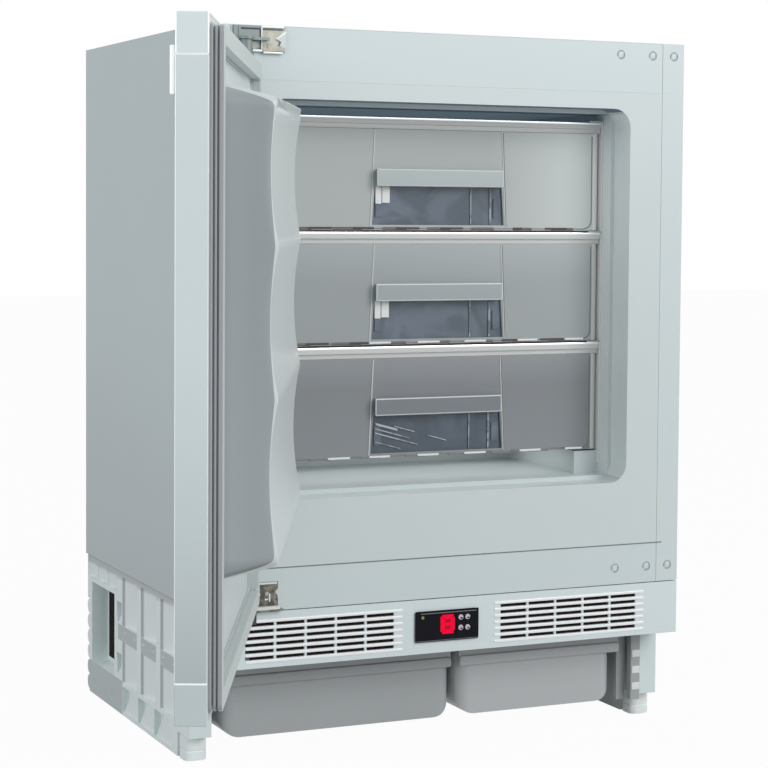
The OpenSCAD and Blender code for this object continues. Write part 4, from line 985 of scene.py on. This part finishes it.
def seen_directly(tree):
    """One for rays from the camera, and for those that come by metal or glass."""
    path = tree.nodes.new("ShaderNodeLightPath")
    total = path.outputs["Is Camera Ray"]
    for name in ("Is Glossy Ray", "Is Transmission Ray"):
        larger = tree.nodes.new("ShaderNodeMath")
        larger.operation = "MAXIMUM"
        tree.links.new(total, larger.inputs[0])
        tree.links.new(path.outputs[name], larger.inputs[1])
        total = larger.outputs[0]
    return total


def studio_surface(name, shade):
    """White for the camera, and a plain matt floor for the light."""
    material = bpy.data.materials.new(name)
    material.use_nodes = True
    tree = material.node_tree
    tree.nodes.clear()
    output = tree.nodes.new("ShaderNodeOutputMaterial")
    matt = tree.nodes.new("ShaderNodeBsdfDiffuse")
    matt.inputs["Color"].default_value = (shade, shade, shade, 1)
    glow = tree.nodes.new("ShaderNodeEmission")
    glow.inputs["Color"].default_value = (1, 1, 1, 1)
    glow.inputs["Strength"].default_value = 1.0
    share = tree.nodes.new("ShaderNodeMath")
    share.operation = "MULTIPLY"
    share.inputs[1].default_value = 0.97
    mix = tree.nodes.new("ShaderNodeMixShader")
    tree.links.new(seen_directly(tree), share.inputs[0])
    tree.links.new(share.outputs[0], mix.inputs["Fac"])
    tree.links.new(matt.outputs["BSDF"], mix.inputs[1])
    tree.links.new(glow.outputs["Emission"], mix.inputs[2])
    tree.links.new(mix.outputs["Shader"], output.inputs["Surface"])
    return material


def studio_floor():
    """A large pale floor under the freezer."""
    bm = bmesh.new()
    bmesh.ops.create_grid(bm, x_segments=1, y_segments=1, size=12)
    mesh = bpy.data.meshes.new("studio_floor")
    bm.to_mesh(mesh)
    bm.free()
    mesh.materials.append(studio_surface("studio_white", 0.5))
    floor = bpy.data.objects.new("studio_floor", mesh)
    floor.location.z = -0.0005
    bpy.context.scene.collection.objects.link(floor)


def studio_world():
    """White for the camera and a soft even light for everything else."""
    world = bpy.data.worlds.new("studio_world")
    bpy.context.scene.world = world
    world.use_nodes = True
    tree = world.node_tree
    tree.nodes.clear()
    output = tree.nodes.new("ShaderNodeOutputWorld")
    light = tree.nodes.new("ShaderNodeBackground")
    light.inputs["Color"].default_value = (0.93, 0.97, 1.0, 1)
    light.inputs["Strength"].default_value = 0.52
    white = tree.nodes.new("ShaderNodeBackground")
    white.inputs["Color"].default_value = (1, 1, 1, 1)
    white.inputs["Strength"].default_value = 1.0
    mix = tree.nodes.new("ShaderNodeMixShader")
    tree.links.new(seen_directly(tree), mix.inputs["Fac"])
    tree.links.new(light.outputs["Background"], mix.inputs[1])
    tree.links.new(white.outputs["Background"], mix.inputs[2])
    tree.links.new(mix.outputs["Shader"], output.inputs["Surface"])


def soft_box(name, place, target, size, power, colour=(1, 1, 1)):
    """A rectangular lamp aimed at a point."""
    data = bpy.data.lights.new(name, "AREA")
    data.shape = "RECTANGLE"
    data.size, data.size_y = size
    data.energy = power
    data.color = colour
    lamp = bpy.data.objects.new(name, data)
    lamp.location = place
    aim = Vector(target) - Vector(place)
    lamp.rotation_mode = "QUATERNION"
    lamp.rotation_quaternion = aim.to_track_quat("-Z", "Y")
    bpy.context.scene.collection.objects.link(lamp)


CAMERA_TURN = (0.4306, 0.0517, 0.0077)
CAMERA_PLACE = (-1.04674, -2.15786 + FRONT_Y, 0.61378)
FOCAL_LENGTH = 2119.81
PICTURE_SIZE = 768
AIM_POINT = (410, 320)
SENSOR = 36


def photo_camera():
    """The camera of the photograph, on the left and turned towards the cabinet.

    Its focal length, the picture's size and the point that it aims at are in pixels.
    """
    yaw, pitch, roll = CAMERA_TURN
    place = Vector(CAMERA_PLACE)
    ahead = Vector((math.sin(yaw) * math.cos(pitch), math.cos(yaw) * math.cos(pitch),
                    -math.sin(pitch)))
    level_right = Vector((math.cos(yaw), -math.sin(yaw), 0))
    level_up = level_right.cross(ahead)
    right = math.cos(roll) * level_right + math.sin(roll) * level_up
    up = -math.sin(roll) * level_right + math.cos(roll) * level_up
    data = bpy.data.cameras.new("photo_camera")
    data.sensor_width = SENSOR
    data.lens = FOCAL_LENGTH / PICTURE_SIZE * SENSOR
    data.shift_x = (PICTURE_SIZE / 2 - AIM_POINT[0]) / PICTURE_SIZE
    data.shift_y = (AIM_POINT[1] - PICTURE_SIZE / 2) / PICTURE_SIZE
    camera = bpy.data.objects.new("photo_camera", data)
    camera.matrix_world = Matrix((
        (right.x, up.x, -ahead.x, place.x),
        (right.y, up.y, -ahead.y, place.y),
        (right.z, up.z, -ahead.z, place.z),
        (0, 0, 0, 1),
    ))
    bpy.context.scene.collection.objects.link(camera)
    bpy.context.scene.camera = camera


studio_floor()
studio_world()
soft_box("key_lamp", (1.9, -3.4, 2.3), (0, -0.2, 0.45), (2.4, 2.4), 75)
soft_box("fill_lamp", (-3.2, -1.6, 1.6), (-0.2, 0, 0.4), (2.0, 2.0), 18, (0.93, 0.97, 1.0))
soft_box("floor_lamp", (0, -0.09, 0.3285), (0, -0.09, 0), (0.36, 0.12), 0.10)
soft_box("ceiling_lamp", (0, 0, 0.7215), (0, 0, 1), (0.43, 0.30), 0.05, (0.66, 0.86, 1.0))
photo_camera()
bpy.context.scene.view_settings.view_transform = "Standard"
